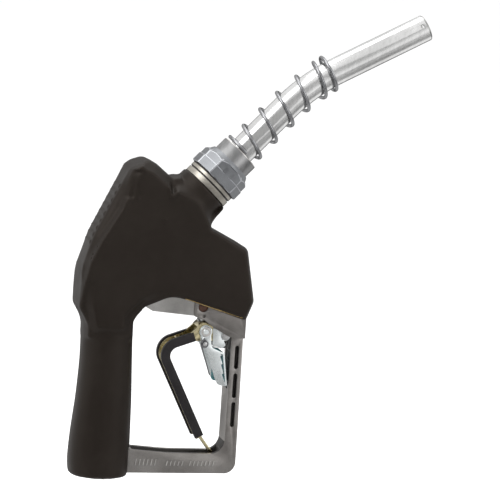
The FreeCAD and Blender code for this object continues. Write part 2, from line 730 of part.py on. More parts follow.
# ---------------------------------------------------------------- spout tube, vent tube and anchor spring
bend_start = size("spout_bend_start")
bend_radius = size("spout_bend_radius")
bend_angle = math.radians(size("spout_bend_angle"))
TIP_END = bend_start + bend_radius * bend_angle + size("spout_tip_length")


def spout_place(distance):
    """The spout's centre line: a point and its direction, a distance along it from the neck's start."""
    if distance <= bend_start:
        return neck.point(distance), neck.direction
    turned = min((distance - bend_start) / bend_radius, bend_angle)
    heading = NECK_ANGLE - turned
    point = neck.point(bend_start) + Vector(bend_radius * (math.sin(NECK_ANGLE) - math.sin(heading)), 0,
                                            bend_radius * (math.cos(heading) - math.cos(NECK_ANGLE)))
    direction = Vector(math.cos(heading), 0, math.sin(heading))
    straight = distance - bend_start - bend_radius * turned
    if straight > 0:
        point = point + direction * straight
    return point, direction


def spout_path(start, end, side=0.0):
    """The centre line as a wire of a line, an arc and a line, moved sideways along Y."""
    shift = Vector(0, side, 0)
    bend_end = bend_start + bend_radius * bend_angle
    first = spout_place(start)[0] + shift
    corner = spout_place(bend_start)[0] + shift
    middle = spout_place((bend_start + bend_end) / 2)[0] + shift
    after = spout_place(bend_end)[0] + shift
    last = spout_place(end)[0] + shift
    return Part.Wire([Part.LineSegment(first, corner).toShape(), Part.Arc(corner, middle, after).toShape(),
                      Part.LineSegment(after, last).toShape()])


def swept_rod(start, end, radius, side=0.0):
    path = spout_path(start, end, side)
    section = Part.Wire(Part.Circle(path.Edges[0].Vertexes[0].Point, neck.direction, radius).toShape())
    return path.makePipeShell([section], True, False)


spout_radius = size("spout_radius")
spout_bore = spout_radius - size("spout_wall")
tip_point, tip_direction = spout_place(TIP_END)
outer_rod = swept_rod(size("spout_start"), TIP_END, spout_radius)
tip_edges = [edge for edge in outer_rod.Edges
             if all(vertex.Point.distanceToPoint(tip_point) < spout_radius + 0.1 for vertex in edge.Vertexes)]
outer_rod = outer_rod.makeFillet(1.1, [edge for edge in tip_edges if edge.Closed])
VENT_SIDE = -6.6
hole_angle = math.radians(23)
HOLE_BACK = 5.0
hole_point, _ = spout_place(TIP_END - HOLE_BACK)
up_side = Vector(-tip_direction.z, 0, tip_direction.x)
hole_direction = Vector(0, -math.cos(hole_angle), 0) + up_side * math.sin(hole_angle)
vent_hole = Part.makeCylinder(1.5, 12, hole_point, hole_direction)
tube = outer_rod.cut(swept_rod(size("spout_start"), TIP_END, spout_bore)).cut(vent_hole)
solid(tube, "spout_tube")
vent_start = size("spout_start") - 4
VENT_END = TIP_END - 3
vent = swept_rod(vent_start, VENT_END, size("vent_radius"), VENT_SIDE)
vent = vent.cut(swept_rod(vent_start, VENT_END - 1, size("vent_bore_radius"), VENT_SIDE))
solid(vent.cut(vent_hole), "vent_tube")

ANCHOR_START = 31.0
ANCHOR_TOTAL = 6.5
ANCHOR_CLOSING = 4.75
FIRST_TURN = 9.3
PITCH = 17.8


def anchor_run(turn):
    """How far the wire has gone along the spout after this many turns: opening, open and closing turns."""
    if turn < 1:
        return FIRST_TURN * turn ** 1.6
    if turn < ANCHOR_CLOSING:
        return FIRST_TURN + PITCH * (turn - 1)
    rest = turn - ANCHOR_CLOSING
    return FIRST_TURN + PITCH * (ANCHOR_CLOSING - 1) + 16.2 * rest - 4.7 * rest * rest


def anchor_centre(share):
    """The wire's centre: wider over the bushing's end, and wider and lifted at the bend."""
    turn = share * ANCHOR_TOTAL
    point, direction = spout_place(ANCHOR_START + anchor_run(turn))
    up = Vector(-direction.z, 0, direction.x)
    angle = 2 * math.pi * turn - math.pi / 2
    first = max(0.0, 1 - turn)
    last = min(1.0, max(0.0, turn - 4.5))
    radius = size("anchor_radius") + 1.4 * first + 0.6 * last
    return point + up * (radius * math.cos(angle) + 1.2 * last) + Vector(0, radius * math.sin(angle), 0)


solid(coil_shape(anchor_centre, size("anchor_wire"), 120), "anchor_spring")

# ---------------------------------------------------------------- lever
BEND = Vector(46.0, 98.5, 0)
UPPER_ARM = Vector(-0.942, -0.335, 0).normalize()
LOWER_ARM = Vector(0.45, -0.893, 0).normalize()
UPPER_LENGTH = 23.5
LOWER_LENGTH = 73.0
UPPER_SIDE = Vector(UPPER_ARM.y, -UPPER_ARM.x, 0)
LOWER_SIDE = Vector(LOWER_ARM.y, -LOWER_ARM.x, 0)


def lever_band(near, far, upper=UPPER_LENGTH, lower=LOWER_LENGTH):
    """The lever's bent side outline between two depths from its finger side."""
    bend_radius_near = size("lever_bend_radius")
    corner = (UPPER_SIDE + LOWER_SIDE) * (1 / (1 + UPPER_SIDE.dot(LOWER_SIDE)))
    points = []
    for depth in (near, far):
        start = BEND - UPPER_ARM * upper + UPPER_SIDE * depth
        middle = BEND + corner * depth
        end = BEND + LOWER_ARM * lower + LOWER_SIDE * depth
        line = [(start.x, start.y), (middle.x, middle.y, bend_radius_near + depth), (end.x, end.y)]
        points += line if depth == near else line[::-1]
    return points


cover_wall = size("cover_wall")
depth = size("lever_depth")
steel = size("sheet")
channel_steel = cut(plate(lever_band(cover_wall, depth, UPPER_LENGTH + 3, LOWER_LENGTH + 1), "lever_width"),
                    plate(lever_band(cover_wall + steel, depth + 6, UPPER_LENGTH + 8, LOWER_LENGTH + 6), "lever_gap"))
EAR = [(54.0, 107.2), (62.5, 110.6, 12), (69.6, 117.0, 9), (75.6, 120.8), (91.5, 114.4), (90.5, 106.6),
       (72, 106.2, 3), (64, 106.0)]
ears = cut(fuse(plate(EAR, "lever_width"), cross_pin(RIVET[0], RIVET[1], "ear_radius", 17),
                cross_pin(FULCRUM[0], FULCRUM[1], "fulcrum_ear_radius", 17)),
           box(55, 100, size("lever_gap") / 2, 90, 130))
cam_sector = doc.addObject("Part::Cylinder", "cam_sector")
cam_sector.Placement = Placement(Vector(RIVET[0], size("lever_width") / 2, RIVET[1]), Rotation(Vector(1, 0, 0), 90))
cam_sector.Angle = 100
bind(cam_sector, Radius="ear_radius", Height="lever_width")
cam_turn = Placement(Vector(0, 0, 0), Rotation(Vector(0, 0, 1), 52))
cam_sector.Placement = cam_sector.Placement.multiply(cam_turn)
cam = cut(cam_sector, cross_pin(RIVET[0], RIVET[1], "ear_radius - sheet", 18))
channel_end = BEND + LOWER_ARM * LOWER_LENGTH + LOWER_SIDE * cover_wall
TAIL_TIP = (88.6, 18.4)
tail_start = BEND + LOWER_ARM * (LOWER_LENGTH - 4) + LOWER_SIDE * cover_wall
tail_direction = (Vector(TAIL_TIP[0], TAIL_TIP[1], 0) - channel_end).normalize()
tail_side = Vector(tail_direction.y, -tail_direction.x, 0) * 2.2
tail = plate([(tail_start.x, tail_start.y), (channel_end.x, channel_end.y), (TAIL_TIP[0], TAIL_TIP[1], 1),
              (TAIL_TIP[0] + tail_side.x, TAIL_TIP[1] + tail_side.y, 1),
              (channel_end.x + tail_side.x, channel_end.y + tail_side.y),
              (tail_start.x + LOWER_SIDE.x * 2.2, tail_start.y + LOWER_SIDE.y * 2.2)], "tail_width")
lever = cut(fuse(channel_steel, ears, cam, tail), cross_pin(RIVET[0], RIVET[1], "rivet_radius", THROUGH),
            cross_pin(FULCRUM[0], FULCRUM[1], "fulcrum_radius + slide_fit", THROUGH))
node(lever, "lever")
lip_top = depth + size("cover_lip_height")
cover_shell = cut(plate(lever_band(0, lip_top), "cover_width"),
                  plate(lever_band(cover_wall, depth, UPPER_LENGTH + 9, LOWER_LENGTH + 9), "lever_width"),
                  plate(lever_band(cover_wall + 1, depth + 6, UPPER_LENGTH + 9, LOWER_LENGTH + 9), "lever_gap"))
lips = cut(plate(lever_band(depth - size("cover_lip_depth"), lip_top), "lever_gap"),
           plate(lever_band(depth - 3, depth + 3, UPPER_LENGTH + 9, LOWER_LENGTH + 9),
                 "lever_gap - cover_lip_wall * 2"))
cover = cut(fuse(cover_shell, lips), plate(EAR, "lever_width"))
node(cover, "lever_cover")
BRACKET = [(80.9, 118.0, 1), (84.2, 115.6, 1), (90, 114.2), (90.2, 106.6), (91.6, 103.5, 1), (89.9, 101.2, 1.5),
           (81.6, 102.6, 1)]
bracket = cut(fuse(plate(BRACKET, "bracket_width"), cross_pin(FULCRUM[0], FULCRUM[1], "bracket_eye_radius", 19)),
              box(70, 100, size("lever_width") / 2, 102.9, 130),
              box(86.6, 100, size("lever_width") / 2, 90, 130),
              cross_pin(FULCRUM[0], FULCRUM[1], "fulcrum_radius + slide_fit", THROUGH))
node(bracket, "fulcrum_bracket")
node(fuse(cross_pin(RIVET[0], RIVET[1], "rivet_radius", 20.4),
          *[cylinder(across(*RIVET), start, "rivet_head_radius", "rivet_head_height") for start in (-11.1, 10.1)]),
     "lever_rivet")

# ---------------------------------------------------------------- hold-open clip
CLIP = [(71.2, 111.5, 2), (72.2, 103.6, 2.2), (75.6, 101.6, 3), (84.9, 77.3, 8), (87.6, 72.6, 3), (94.8, 71.4, 1),
        (91.0, 97.8, 1), (88.6, 98.2, 1), (80.6, 101.6, 3), (79.6, 112)]
WINDOW = [(87.9, 96.6), (89.4, 96.4), (89.9, 96.2), (93.0, 75.0), (92.6, 74.6)]
for tip_x, tip_z in ((90.2, 81.0), (89.0, 88.4), (87.8, 95.0)):
    WINDOW += [(tip_x + 1.7, tip_z - 4.6), (tip_x, tip_z), (tip_x + 1.2, tip_z + 0.6)]
clip_plates = cut(fuse(plate(CLIP, "clip_width"), cross_pin(RIVET[0], RIVET[1], "clip_head_radius", 19.8)),
                  plate([(60, 130), (90.4, 130), (90.4, 97.0), (93.3, 75.6), (93.6, 60), (60, 60)], "clip_gap"),
                  plate(WINDOW, "clip_width + 2"))
COIL_CENTRE = (74.6, 104.6)
stud_axis = Axis((COIL_CENTRE[0], -13.4, COIL_CENTRE[1]), (0, 1, 0))
clip = cut(clip_plates, cross_pin(RIVET[0], RIVET[1], "rivet_radius + 0.06", THROUGH),
           cylinder(stud_axis, 0, "stud_radius", "stud_length"))
node(clip, "hold_open_clip")

COIL_RADIUS = 2.5
CLIP_WIRE = 0.5
COIL_OUTER_Y = -12.8
LEG_Y = -10.6
LEG_TIP = Vector(85.0, 0, 82.0)
COIL_FIRST_ANGLE = math.radians(150)


def clip_coil(angle):
    """A point on the clip spring's coil, at this angle from +X towards +Z."""
    share = (angle - COIL_FIRST_ANGLE) / (COIL_LAST_ANGLE - COIL_FIRST_ANGLE)
    return Vector(COIL_CENTRE[0] + COIL_RADIUS * math.cos(angle), COIL_OUTER_Y + (LEG_Y - COIL_OUTER_Y) * share,
                  COIL_CENTRE[1] + COIL_RADIUS * math.sin(angle))


leg_run = LEG_TIP - Vector(COIL_CENTRE[0], 0, COIL_CENTRE[1])
leg_heading = math.atan2(leg_run.z, leg_run.x) - math.asin(COIL_RADIUS / leg_run.Length)
COIL_LAST_ANGLE = leg_heading + 4.5 * math.pi + math.pi
coil = coil_shape(lambda share: clip_coil(COIL_FIRST_ANGLE + share * (COIL_LAST_ANGLE - COIL_FIRST_ANGLE)),
                  CLIP_WIRE, 40)
leg_start = clip_coil(COIL_LAST_ANGLE)
leg_direction = Vector(math.cos(leg_heading), 0, math.sin(leg_heading))
leg = Part.makeCylinder(CLIP_WIRE, leg_run.Length, leg_start - leg_direction * 0.3, leg_direction)
short_start = clip_coil(COIL_FIRST_ANGLE)
short_leg = Part.makeCylinder(CLIP_WIRE, 4, short_start, Vector(0.4, 0, 0.9))
solid(coil.fuse([leg, short_leg]), "clip_spring")
node(cylinder(stud_axis, 0, "stud_radius", "stud_length"), "spring_stud")

# ---------------------------------------------------------------- checks and files
doc.recompute()
for piece in doc.Objects:
    if {"Invalid", "Error"} & set(piece.State):
        raise RuntimeError("%s (%s) failed: %s" % (piece.Name, piece.Label, piece.State))
os.makedirs("parts", exist_ok=True)
for piece in nodes:
    shape = piece.Shape
    if shape.isNull() or not shape.isValid():
        raise RuntimeError("%s has no valid shape" % piece.Label)
    shape.exportStep("parts/%s.step" % piece.Label)
    print("%-18s solids %d volume %.1f" % (piece.Label, len(shape.Solids), shape.Volume))
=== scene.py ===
import bpy
import bmesh
import json
import math
import numpy as np
from mathutils import Matrix, Vector

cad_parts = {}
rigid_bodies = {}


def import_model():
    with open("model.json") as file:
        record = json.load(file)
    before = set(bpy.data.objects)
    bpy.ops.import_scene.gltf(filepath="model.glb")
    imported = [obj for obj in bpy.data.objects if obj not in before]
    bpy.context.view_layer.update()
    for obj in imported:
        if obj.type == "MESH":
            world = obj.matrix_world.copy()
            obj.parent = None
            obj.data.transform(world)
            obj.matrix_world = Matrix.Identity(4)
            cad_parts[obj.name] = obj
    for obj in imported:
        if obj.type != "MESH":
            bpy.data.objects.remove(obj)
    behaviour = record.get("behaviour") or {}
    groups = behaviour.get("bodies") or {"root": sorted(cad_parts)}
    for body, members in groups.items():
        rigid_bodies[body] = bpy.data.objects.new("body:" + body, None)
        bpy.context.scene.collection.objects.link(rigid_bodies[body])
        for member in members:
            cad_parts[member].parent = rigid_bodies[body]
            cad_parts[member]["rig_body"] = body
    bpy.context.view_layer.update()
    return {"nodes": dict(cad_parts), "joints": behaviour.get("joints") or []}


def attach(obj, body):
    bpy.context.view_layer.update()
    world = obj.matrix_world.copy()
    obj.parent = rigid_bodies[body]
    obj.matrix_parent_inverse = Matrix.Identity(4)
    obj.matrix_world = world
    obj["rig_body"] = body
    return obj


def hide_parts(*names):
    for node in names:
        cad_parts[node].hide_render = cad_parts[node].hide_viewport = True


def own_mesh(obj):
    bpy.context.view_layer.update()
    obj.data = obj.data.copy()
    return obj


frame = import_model()
MM = 0.001
nodes = frame["nodes"]


def added(name, data, materials=()):
    """A new object in the scene, with materials on its mesh."""
    made = bpy.data.objects.new(name, data)
    bpy.context.scene.collection.objects.link(made)
    for material in materials:
        data.materials.append(material)
    return made


# ---------------------------------------------------------------- camera
VIEW_AZIMUTH = math.radians(-15.0)
VIEW_ELEVATION = math.radians(8.5)
VIEW_ROLL = math.radians(3.9)
VIEW_DISTANCE = 2.2
VIEW_AIM = Vector((0.10837, 0.0, 0.17617))
LENS = 207.1

back = Vector((math.sin(VIEW_AZIMUTH) * math.cos(VIEW_ELEVATION),
               -math.cos(VIEW_AZIMUTH) * math.cos(VIEW_ELEVATION), math.sin(VIEW_ELEVATION)))
level_right = Vector((math.cos(VIEW_AZIMUTH), math.sin(VIEW_AZIMUTH), 0))
level_up = back.cross(level_right)
right = level_right * math.cos(VIEW_ROLL) + level_up * math.sin(VIEW_ROLL)
up = level_up * math.cos(VIEW_ROLL) - level_right * math.sin(VIEW_ROLL)
camera_data = bpy.data.cameras.new("camera")
camera_data.lens = LENS
camera_data.sensor_width = 36
camera_data.clip_end = 30
camera = added("camera", camera_data)
place = VIEW_AIM + back * VIEW_DISTANCE
camera.matrix_world = Matrix(((right.x, up.x, back.x, place.x), (right.y, up.y, back.y, place.y),
                              (right.z, up.z, back.z, place.z), (0, 0, 0, 1)))
bpy.context.scene.camera = camera
bpy.context.scene.view_settings.view_transform = "Standard"


# ---------------------------------------------------------------- materials
class Nodes:
    """A material's node tree, with short ways to add and join nodes."""

    def __init__(self, name):
        self.material = bpy.data.materials.new(name)
        self.material.use_nodes = True
        self.tree = self.material.node_tree
        self.shader = self.tree.nodes["Principled BSDF"]
        self.place = self.add("ShaderNodeTexCoord").outputs["Object"]

    def add(self, kind, **settings):
        made = self.tree.nodes.new(kind)
        for name, value in settings.items():
            setattr(made, name, value)
        return made

    def join(self, output, socket):
        self.tree.links.new(output, socket)

    def mapped(self, scale, turn):
        mapping = self.add("ShaderNodeMapping")
        mapping.inputs["Scale"].default_value = scale
        mapping.inputs["Rotation"].default_value = turn
        self.join(self.place, mapping.inputs["Vector"])
        return mapping.outputs[0]

    def noise(self, scale, detail=4.0, roughness=0.55, source=None):
        texture = self.add("ShaderNodeTexNoise")
        texture.inputs["Scale"].default_value = scale
        texture.inputs["Detail"].default_value = detail
        texture.inputs["Roughness"].default_value = roughness
        self.join(source or self.place, texture.inputs["Vector"])
        return texture.outputs["Fac"]

    def remap(self, value, low, high, to_low, to_high):
        change = self.add("ShaderNodeMapRange")
        for name, number in (("From Min", low), ("From Max", high), ("To Min", to_low), ("To Max", to_high)):
            change.inputs[name].default_value = number
        self.join(value, change.inputs["Value"])
        return change.outputs[0]

    def mix(self, factor, first, second):
        mixer = self.add("ShaderNodeMix", data_type="RGBA")
        for socket, value in ((mixer.inputs[0], factor), (mixer.inputs[6], first), (mixer.inputs[7], second)):
            if isinstance(value, (int, float)):
                socket.default_value = value
            elif isinstance(value, tuple):
                socket.default_value = (*value, 1) if len(value) == 3 else value
            else:
                self.join(value, socket)
        return mixer.outputs[2]

    def maths(self, operation, first, second):
        made = self.add("ShaderNodeMath", operation=operation)
        for socket, value in zip(made.inputs, (first, second)):
            if isinstance(value, (int, float)):
                socket.default_value = value
            else:
                self.join(value, socket)
        return made.outputs[0]

    def bump(self, height, strength, distance, normal=None):
        made = self.add("ShaderNodeBump")
        made.inputs["Strength"].default_value = strength
        made.inputs["Distance"].default_value = distance
        self.join(height, made.inputs["Height"])
        if normal:
            self.join(normal, made.inputs["Normal"])
        self.join(made.outputs[0], self.shader.inputs["Normal"])
        return made.outputs[0]

    def set(self, **values):
        for name, value in values.items():
            self.shader.inputs[name.replace("_", " ")].default_value = value


def metal(name, dark, light, roughness, stretch=(1, 1, 1), turn=(0, 0, 0), patch=60, grain=900,
          grain_depth=0.00004, grain_strength=0.25, rough_spread=0.12, metallic=1.0):
    """A bare or plated metal: tone patches, a fine grain along one direction, and uneven roughness."""
    made = Nodes(name)
    along = made.mapped(stretch, turn)
    patches = made.noise(patch, 5, 0.6, along)
    fine = made.noise(grain, 6, 0.65, along)
    tone = made.mix(made.remap(patches, 0.32, 0.68, 0, 1), dark, light)
    shade = made.mix(made.remap(fine, 0.3, 0.7, 0.0, 0.35), tone, tuple(0.62 * part for part in dark))
    made.join(shade, made.shader.inputs["Base Color"])
    made.join(made.remap(patches, 0.3, 0.7, roughness - rough_spread, roughness + rough_spread),
              made.shader.inputs["Roughness"])
    made.bump(fine, grain_strength, grain_depth)
    made.set(Metallic=metallic)
    return made.material


def vinyl(name, base, worn, roughness, specular):
    """Dip-coated soft vinyl: satin, with a faint orange-peel surface, dust and rubbed patches."""
    made = Nodes(name)
    peel = made.noise(420, 3, 0.5)
    waves = made.noise(38, 2, 0.5)
    rubbed = made.noise(24, 6, 0.65)
    dust = made.noise(1500, 2, 0.6)
    tone = made.mix(made.remap(rubbed, 0.42, 0.72, 0, 0.55), base, worn)
    tone = made.mix(made.remap(dust, 0.62, 0.8, 0, 0.25), tone, worn)
    made.join(tone, made.shader.inputs["Base Color"])
    made.join(made.remap(rubbed, 0.3, 0.7, roughness - 0.07, roughness + 0.1),
              made.shader.inputs["Roughness"])
    first = made.add("ShaderNodeBump")
    first.inputs["Strength"].default_value = 0.25
    first.inputs["Distance"].default_value = 0.0004
    made.join(waves, first.inputs["Height"])
    made.bump(peel, 0.18, 0.00008, first.outputs[0])
    made.set(Specular_IOR_Level=specular, Specular_Tint=(1.0, 0.90, 0.82, 1.0))
    return made.material


NECK_DEGREES = 47
NECK_TURN = (0, math.radians(90 - NECK_DEGREES), 0)
black_vinyl = vinyl("black_vinyl", (0.0085, 0.0062, 0.0048), (0.0145, 0.0115, 0.0092), 0.44, 0.17)
grey_vinyl = vinyl("grey_vinyl", (0.0095, 0.009, 0.0105), (0.019, 0.0185, 0.0215), 0.46, 0.2)
cut_edge = vinyl("cut_edge", (0.34, 0.235, 0.085), (0.46, 0.34, 0.14), 0.6, 0.3)
cast = metal("cast_aluminium", (0.20, 0.186, 0.175), (0.345, 0.33, 0.315), 0.40, patch=38, grain=1400,
             grain_depth=0.00009, grain_strength=0.5)
# lighter cast tones for rounded edges and rims: edge wear together with a painted highlight
cast_edge_highlight = metal("cast_edge_highlight", (0.50, 0.48, 0.46), (0.66, 0.64, 0.62), 0.32, patch=120)
cast_worn_highlight = metal("cast_worn_highlight", (0.38, 0.365, 0.35), (0.58, 0.56, 0.54), 0.34, patch=120)
# a lighter copy of the cast metal: a painted highlight on the tray's side faces
cast_painted_light = metal("cast_painted_light", (0.34, 0.33, 0.315), (0.56, 0.545, 0.53), 0.38, patch=45, grain=1400,
                   grain_depth=0.00009, grain_strength=0.4)
# near-black cast tone: painted shade in the neck's groove and end, in the guard's recesses, and on the latch
# strip in its pocket
cast_painted_shade = metal("cast_painted_shade", (0.018, 0.016, 0.015), (0.045, 0.04, 0.036), 0.6, metallic=0.3, patch=80)
neck_metal = metal("neck_metal", (0.29, 0.27, 0.235), (0.45, 0.43, 0.385), 0.42, patch=26, stretch=(1, 1, 4),
                   turn=NECK_TURN)
anodised = metal("anodised", (0.175, 0.181, 0.19), (0.245, 0.252, 0.263), 0.46, patch=70, grain=1500,
                 grain_depth=0.00005)
# lighter anodised tone for the nut's edges: edge wear together with a painted highlight
anodised_edge_highlight = metal("anodised_edge_highlight", (0.34, 0.35, 0.37), (0.50, 0.51, 0.53), 0.42, patch=150)
turned = metal("turned_aluminium", (0.20, 0.20, 0.20), (0.27, 0.27, 0.27), 0.36, patch=40, stretch=(5, 5, 1),
               turn=NECK_TURN, grain=600)
polished = metal("polished_aluminium", (0.66, 0.66, 0.655), (0.84, 0.84, 0.835), 0.19, patch=26,
                 stretch=(1, 1, 0.12), turn=NECK_TURN, grain=420, rough_spread=0.06)
tube_end = metal("tube_end", (0.20, 0.20, 0.195), (0.38, 0.38, 0.37), 0.34, patch=150)
wire_steel = metal("wire_steel", (0.20, 0.203, 0.21), (0.32, 0.32, 0.33), 0.27, patch=40, grain_strength=0.06)
zinc = metal("zinc_plate", (0.72, 0.76, 0.76), (0.86, 0.90, 0.90), 0.28, patch=55, rough_spread=0.08)
# teal-tinted zinc: painted shade on the clip's edges and the inside of its far wall
zinc_teal_shade = metal("zinc_teal_shade", (0.05, 0.24, 0.27), (0.22, 0.42, 0.44), 0.3, patch=160)
yellow_zinc = metal("yellow_zinc", (0.52, 0.44, 0.24), (0.78, 0.72, 0.50), 0.28, patch=60)
steel = metal("steel", (0.45, 0.45, 0.45), (0.62, 0.62, 0.62), 0.28, patch=70)
dark_steel = metal("dark_steel", (0.10, 0.10, 0.105), (0.26, 0.26, 0.27), 0.3, patch=60, stretch=(6, 6, 1))
brown_plug = metal("brown_plug", (0.045, 0.02, 0.012), (0.11, 0.05, 0.03), 0.5, metallic=0.4, patch=200)
brass = metal("brass", (0.45, 0.30, 0.11), (0.66, 0.48, 0.2), 0.32, patch=60)
black_rubber = vinyl("black_rubber", (0.012, 0.012, 0.012), (0.03, 0.03, 0.03), 0.6, 0.3)
grey_plastic = vinyl("grey_plastic", (0.05, 0.05, 0.055), (0.09, 0.09, 0.10), 0.45, 0.4)


# ---------------------------------------------------------------- mesh helpers
BEVEL_SEGMENTS = 2
EDGE_ANGLE = 32
TUBE_SHARP_ANGLE = 50
TURNED_SHARP_ANGLE = 24


def new_object(name, vertices, faces, materials, body, sharp_angle=None):
    """A smooth-shaded piece that rides on a body, its edges sharp above an angle in degrees."""
    mesh = bpy.data.meshes.new(name)
    mesh.from_pydata([tuple(vertex) for vertex in vertices], [], [tuple(face) for face in faces])
    mesh.update()
    made = added(name, mesh, materials)
    mesh.shade_smooth()
    if sharp_angle:
        mesh.set_sharp_from_angle(angle=math.radians(sharp_angle))
    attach(made, body)
    return made


def applied(made):
    """The object's mesh with its modifiers worked in, and the modifiers taken off."""
    bpy.context.view_layer.update()
    result = bpy.data.meshes.new_from_object(made.evaluated_get(bpy.context.evaluated_depsgraph_get()))
    made.modifiers.clear()
    made.data = result
    return made


def refined(node, materials, width, edge_slot=0, pick=None, cuts=()):
    """A CAD node's shape with its sharp edges rounded off, as a new piece that stands for it.

    cuts are (point, normal) planes that divide faces, so that pick can give each side its own material."""
    source = nodes[node]
    work = bmesh.new()
    work.from_mesh(source.data)
    bmesh.ops.remove_doubles(work, verts=work.verts, dist=2e-6)
    bmesh.ops.dissolve_limit(work, angle_limit=math.radians(0.6), verts=work.verts, edges=work.edges)
    for point, normal in cuts:
        bmesh.ops.bisect_plane(work, geom=work.verts[:] + work.edges[:] + work.faces[:], dist=1e-7,
                               plane_co=point * MM, plane_no=normal)
    mesh = bpy.data.meshes.new(node + "_detail")
    work.to_mesh(mesh)
    work.free()
    for layer in [item for item in mesh.attributes if item.name == "custom_normal"]:
        mesh.attributes.remove(layer)
    made = added(node + "_detail", mesh, materials)
    for polygon in mesh.polygons:
        polygon.material_index = pick(Vector(polygon.center) / MM, Vector(polygon.normal)) if pick else 0
    bevel = made.modifiers.new("edges", "BEVEL")
    bevel.width = width * MM
    bevel.segments = BEVEL_SEGMENTS
    bevel.limit_method = "ANGLE"
    bevel.angle_limit = math.radians(EDGE_ANGLE)
    bevel.use_clamp_overlap = True
    bevel.harden_normals = False
    # edge_slot gives the rounded edges their own material; on most pieces it is a lighter tone, edge wear
    # together with a painted highlight
    if edge_slot:
        bevel.material = edge_slot
    applied(made)
    made.data.shade_smooth()
    made.data.set_sharp_from_angle(angle=math.radians(EDGE_ANGLE))
    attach(made, source["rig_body"])
    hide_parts(node)
    return made


def paint(node, material):
    """A CAD node kept as it is, with a better material."""
    kept = nodes[node]
    for place in kept.material_slots:
        place.material = material
    if not kept.material_slots:
        kept.data.materials.append(material)


def tube(name, points, radius, materials, body, sides):
    """A round wire along points in millimetres, its rings carried along without twist."""
    points = np.asarray(points, float) * MM
    count = len(points)
    tangents = np.gradient(points, axis=0)
    tangents /= np.linalg.norm(tangents, axis=1)[:, None]
    normal = np.cross(tangents[0], (0.3, 0.9, 0.2))
    vertices = []
    for index in range(count):
        normal = normal - tangents[index] * normal.dot(tangents[index])
        normal /= np.linalg.norm(normal)
        side = np.cross(tangents[index], normal)
        for step in range(sides):
            angle = 2 * math.pi * step / sides
            vertices.append(points[index] + (normal * math.cos(angle) + side * math.sin(angle)) * radius * MM)
    faces = []
    for index in range(count - 1):
        for step in range(sides):
            following = (step + 1) % sides
            first = index * sides
            faces.append((first + step, first + following, first + sides + following, first + sides + step))
    faces.append(tuple(range(sides))[::-1])
    faces.append(tuple(range((count - 1) * sides, count * sides)))
    return new_object(name, vertices, faces, materials, body, TUBE_SHARP_ANGLE)


# ---------------------------------------------------------------- surface from a distance field
def surface(field, start, step):
    """The zero surface of a field on a regular grid (negative inside), as points and quads."""
    shape = tuple(length - 1 for length in field.shape)
    total = np.zeros(shape + (3,), np.float32)
    hits = np.zeros(shape, np.int8)
    crossings = []
    for axis in range(3):
        others = [index for index in range(3) if index != axis]
        low = [slice(None)] * 3
        high = [slice(None)] * 3
        low[axis] = slice(0, -1)
        high[axis] = slice(1, None)
        before = field[tuple(low)]
        after = field[tuple(high)]
        crossed = (before < 0) != (after < 0)
        share = np.where(crossed, before / np.where(crossed, before - after, 1), 0)
        crossings.append((crossed, before < 0))
        for first in (0, 1):
            for second in (0, 1):
                part = [slice(None)] * 3
                part[others[0]] = slice(first, first + shape[others[0]])
                part[others[1]] = slice(second, second + shape[others[1]])
                there = crossed[tuple(part)]
                hits += there
                total[..., axis] += share[tuple(part)]
                total[..., others[0]] += there * first
                total[..., others[1]] += there * second
    used = hits > 0
    number = np.full(shape, -1, np.int64)
    number[used] = np.arange(used.sum())
    cell = np.argwhere(used)
    points = (cell + total[used] / hits[used][:, None]) * step + np.asarray(start)
    quads = []
    for axis in range(3):
        crossed, inside = crossings[axis]
        others = [index for index in range(3) if index != axis]
        inner = [slice(None)] * 3
        inner[others[0]] = slice(1, -1)
        inner[others[1]] = slice(1, -1)
        spots = np.argwhere(crossed[tuple(inner)])
        flips = inside[tuple(inner)][crossed[tuple(inner)]]
        corners = []
        for first, second in ((0, 0), (1, 0), (1, 1), (0, 1)):
            shift = np.zeros(3, int)
            shift[others[0]] = first
            shift[others[1]] = second
            at = spots + shift
            corners.append(number[at[:, 0], at[:, 1], at[:, 2]])
        ring = np.stack(corners, axis=1)
        if axis == 1:
            flips = ~flips
        ring[~flips] = ring[~flips][:, ::-1]
        quads.append(ring)
    return points, np.concatenate(quads)


def soft_min(first, second, reach):
    """The smaller of two values, blended where they are within reach of each other."""
    blend = np.clip(0.5 + 0.5 * (second - first) / reach, 0, 1)
    return second * (1 - blend) + first * blend - reach * blend * (1 - blend)


def soft_max(first, second, reach):
    return -soft_min(-first, -second, reach)


def smooth_step(value, low, high):
    """0 at low, 1 at high, with a level start and end; it falls when low is above high."""
    share = np.clip((value - low) / (high - low), 0, 1)
    return share * share * (3 - 2 * share)


def rounded_outline(corners, spacing=1.2):
    """Points along a closed outline of (x, z, radius) corners, with an arc at each corner."""
    points = []
    count = len(corners)
    for index, (x, z, radius) in enumerate(corners):
        here = Vector((x, z))
        last = Vector(corners[index - 1][:2])
        following = Vector(corners[(index + 1) % count][:2])
        back_way = (last - here).normalized()
        onward = (following - here).normalized()
        half = back_way.angle(onward) / 2
        reach = min(radius / math.tan(half), (last - here).length * 0.5, (following - here).length * 0.5)
        radius = reach * math.tan(half)
        start = here + back_way * reach
        end = here + onward * reach
        steps = max(1, int(radius * (math.pi - 2 * half) / spacing))
        for step in range(steps + 1):
            share = step / steps
            points.append(start * (1 - share) ** 2 + here * 2 * share * (1 - share) + end * share ** 2)
    return np.array([tuple(point) for point in points])


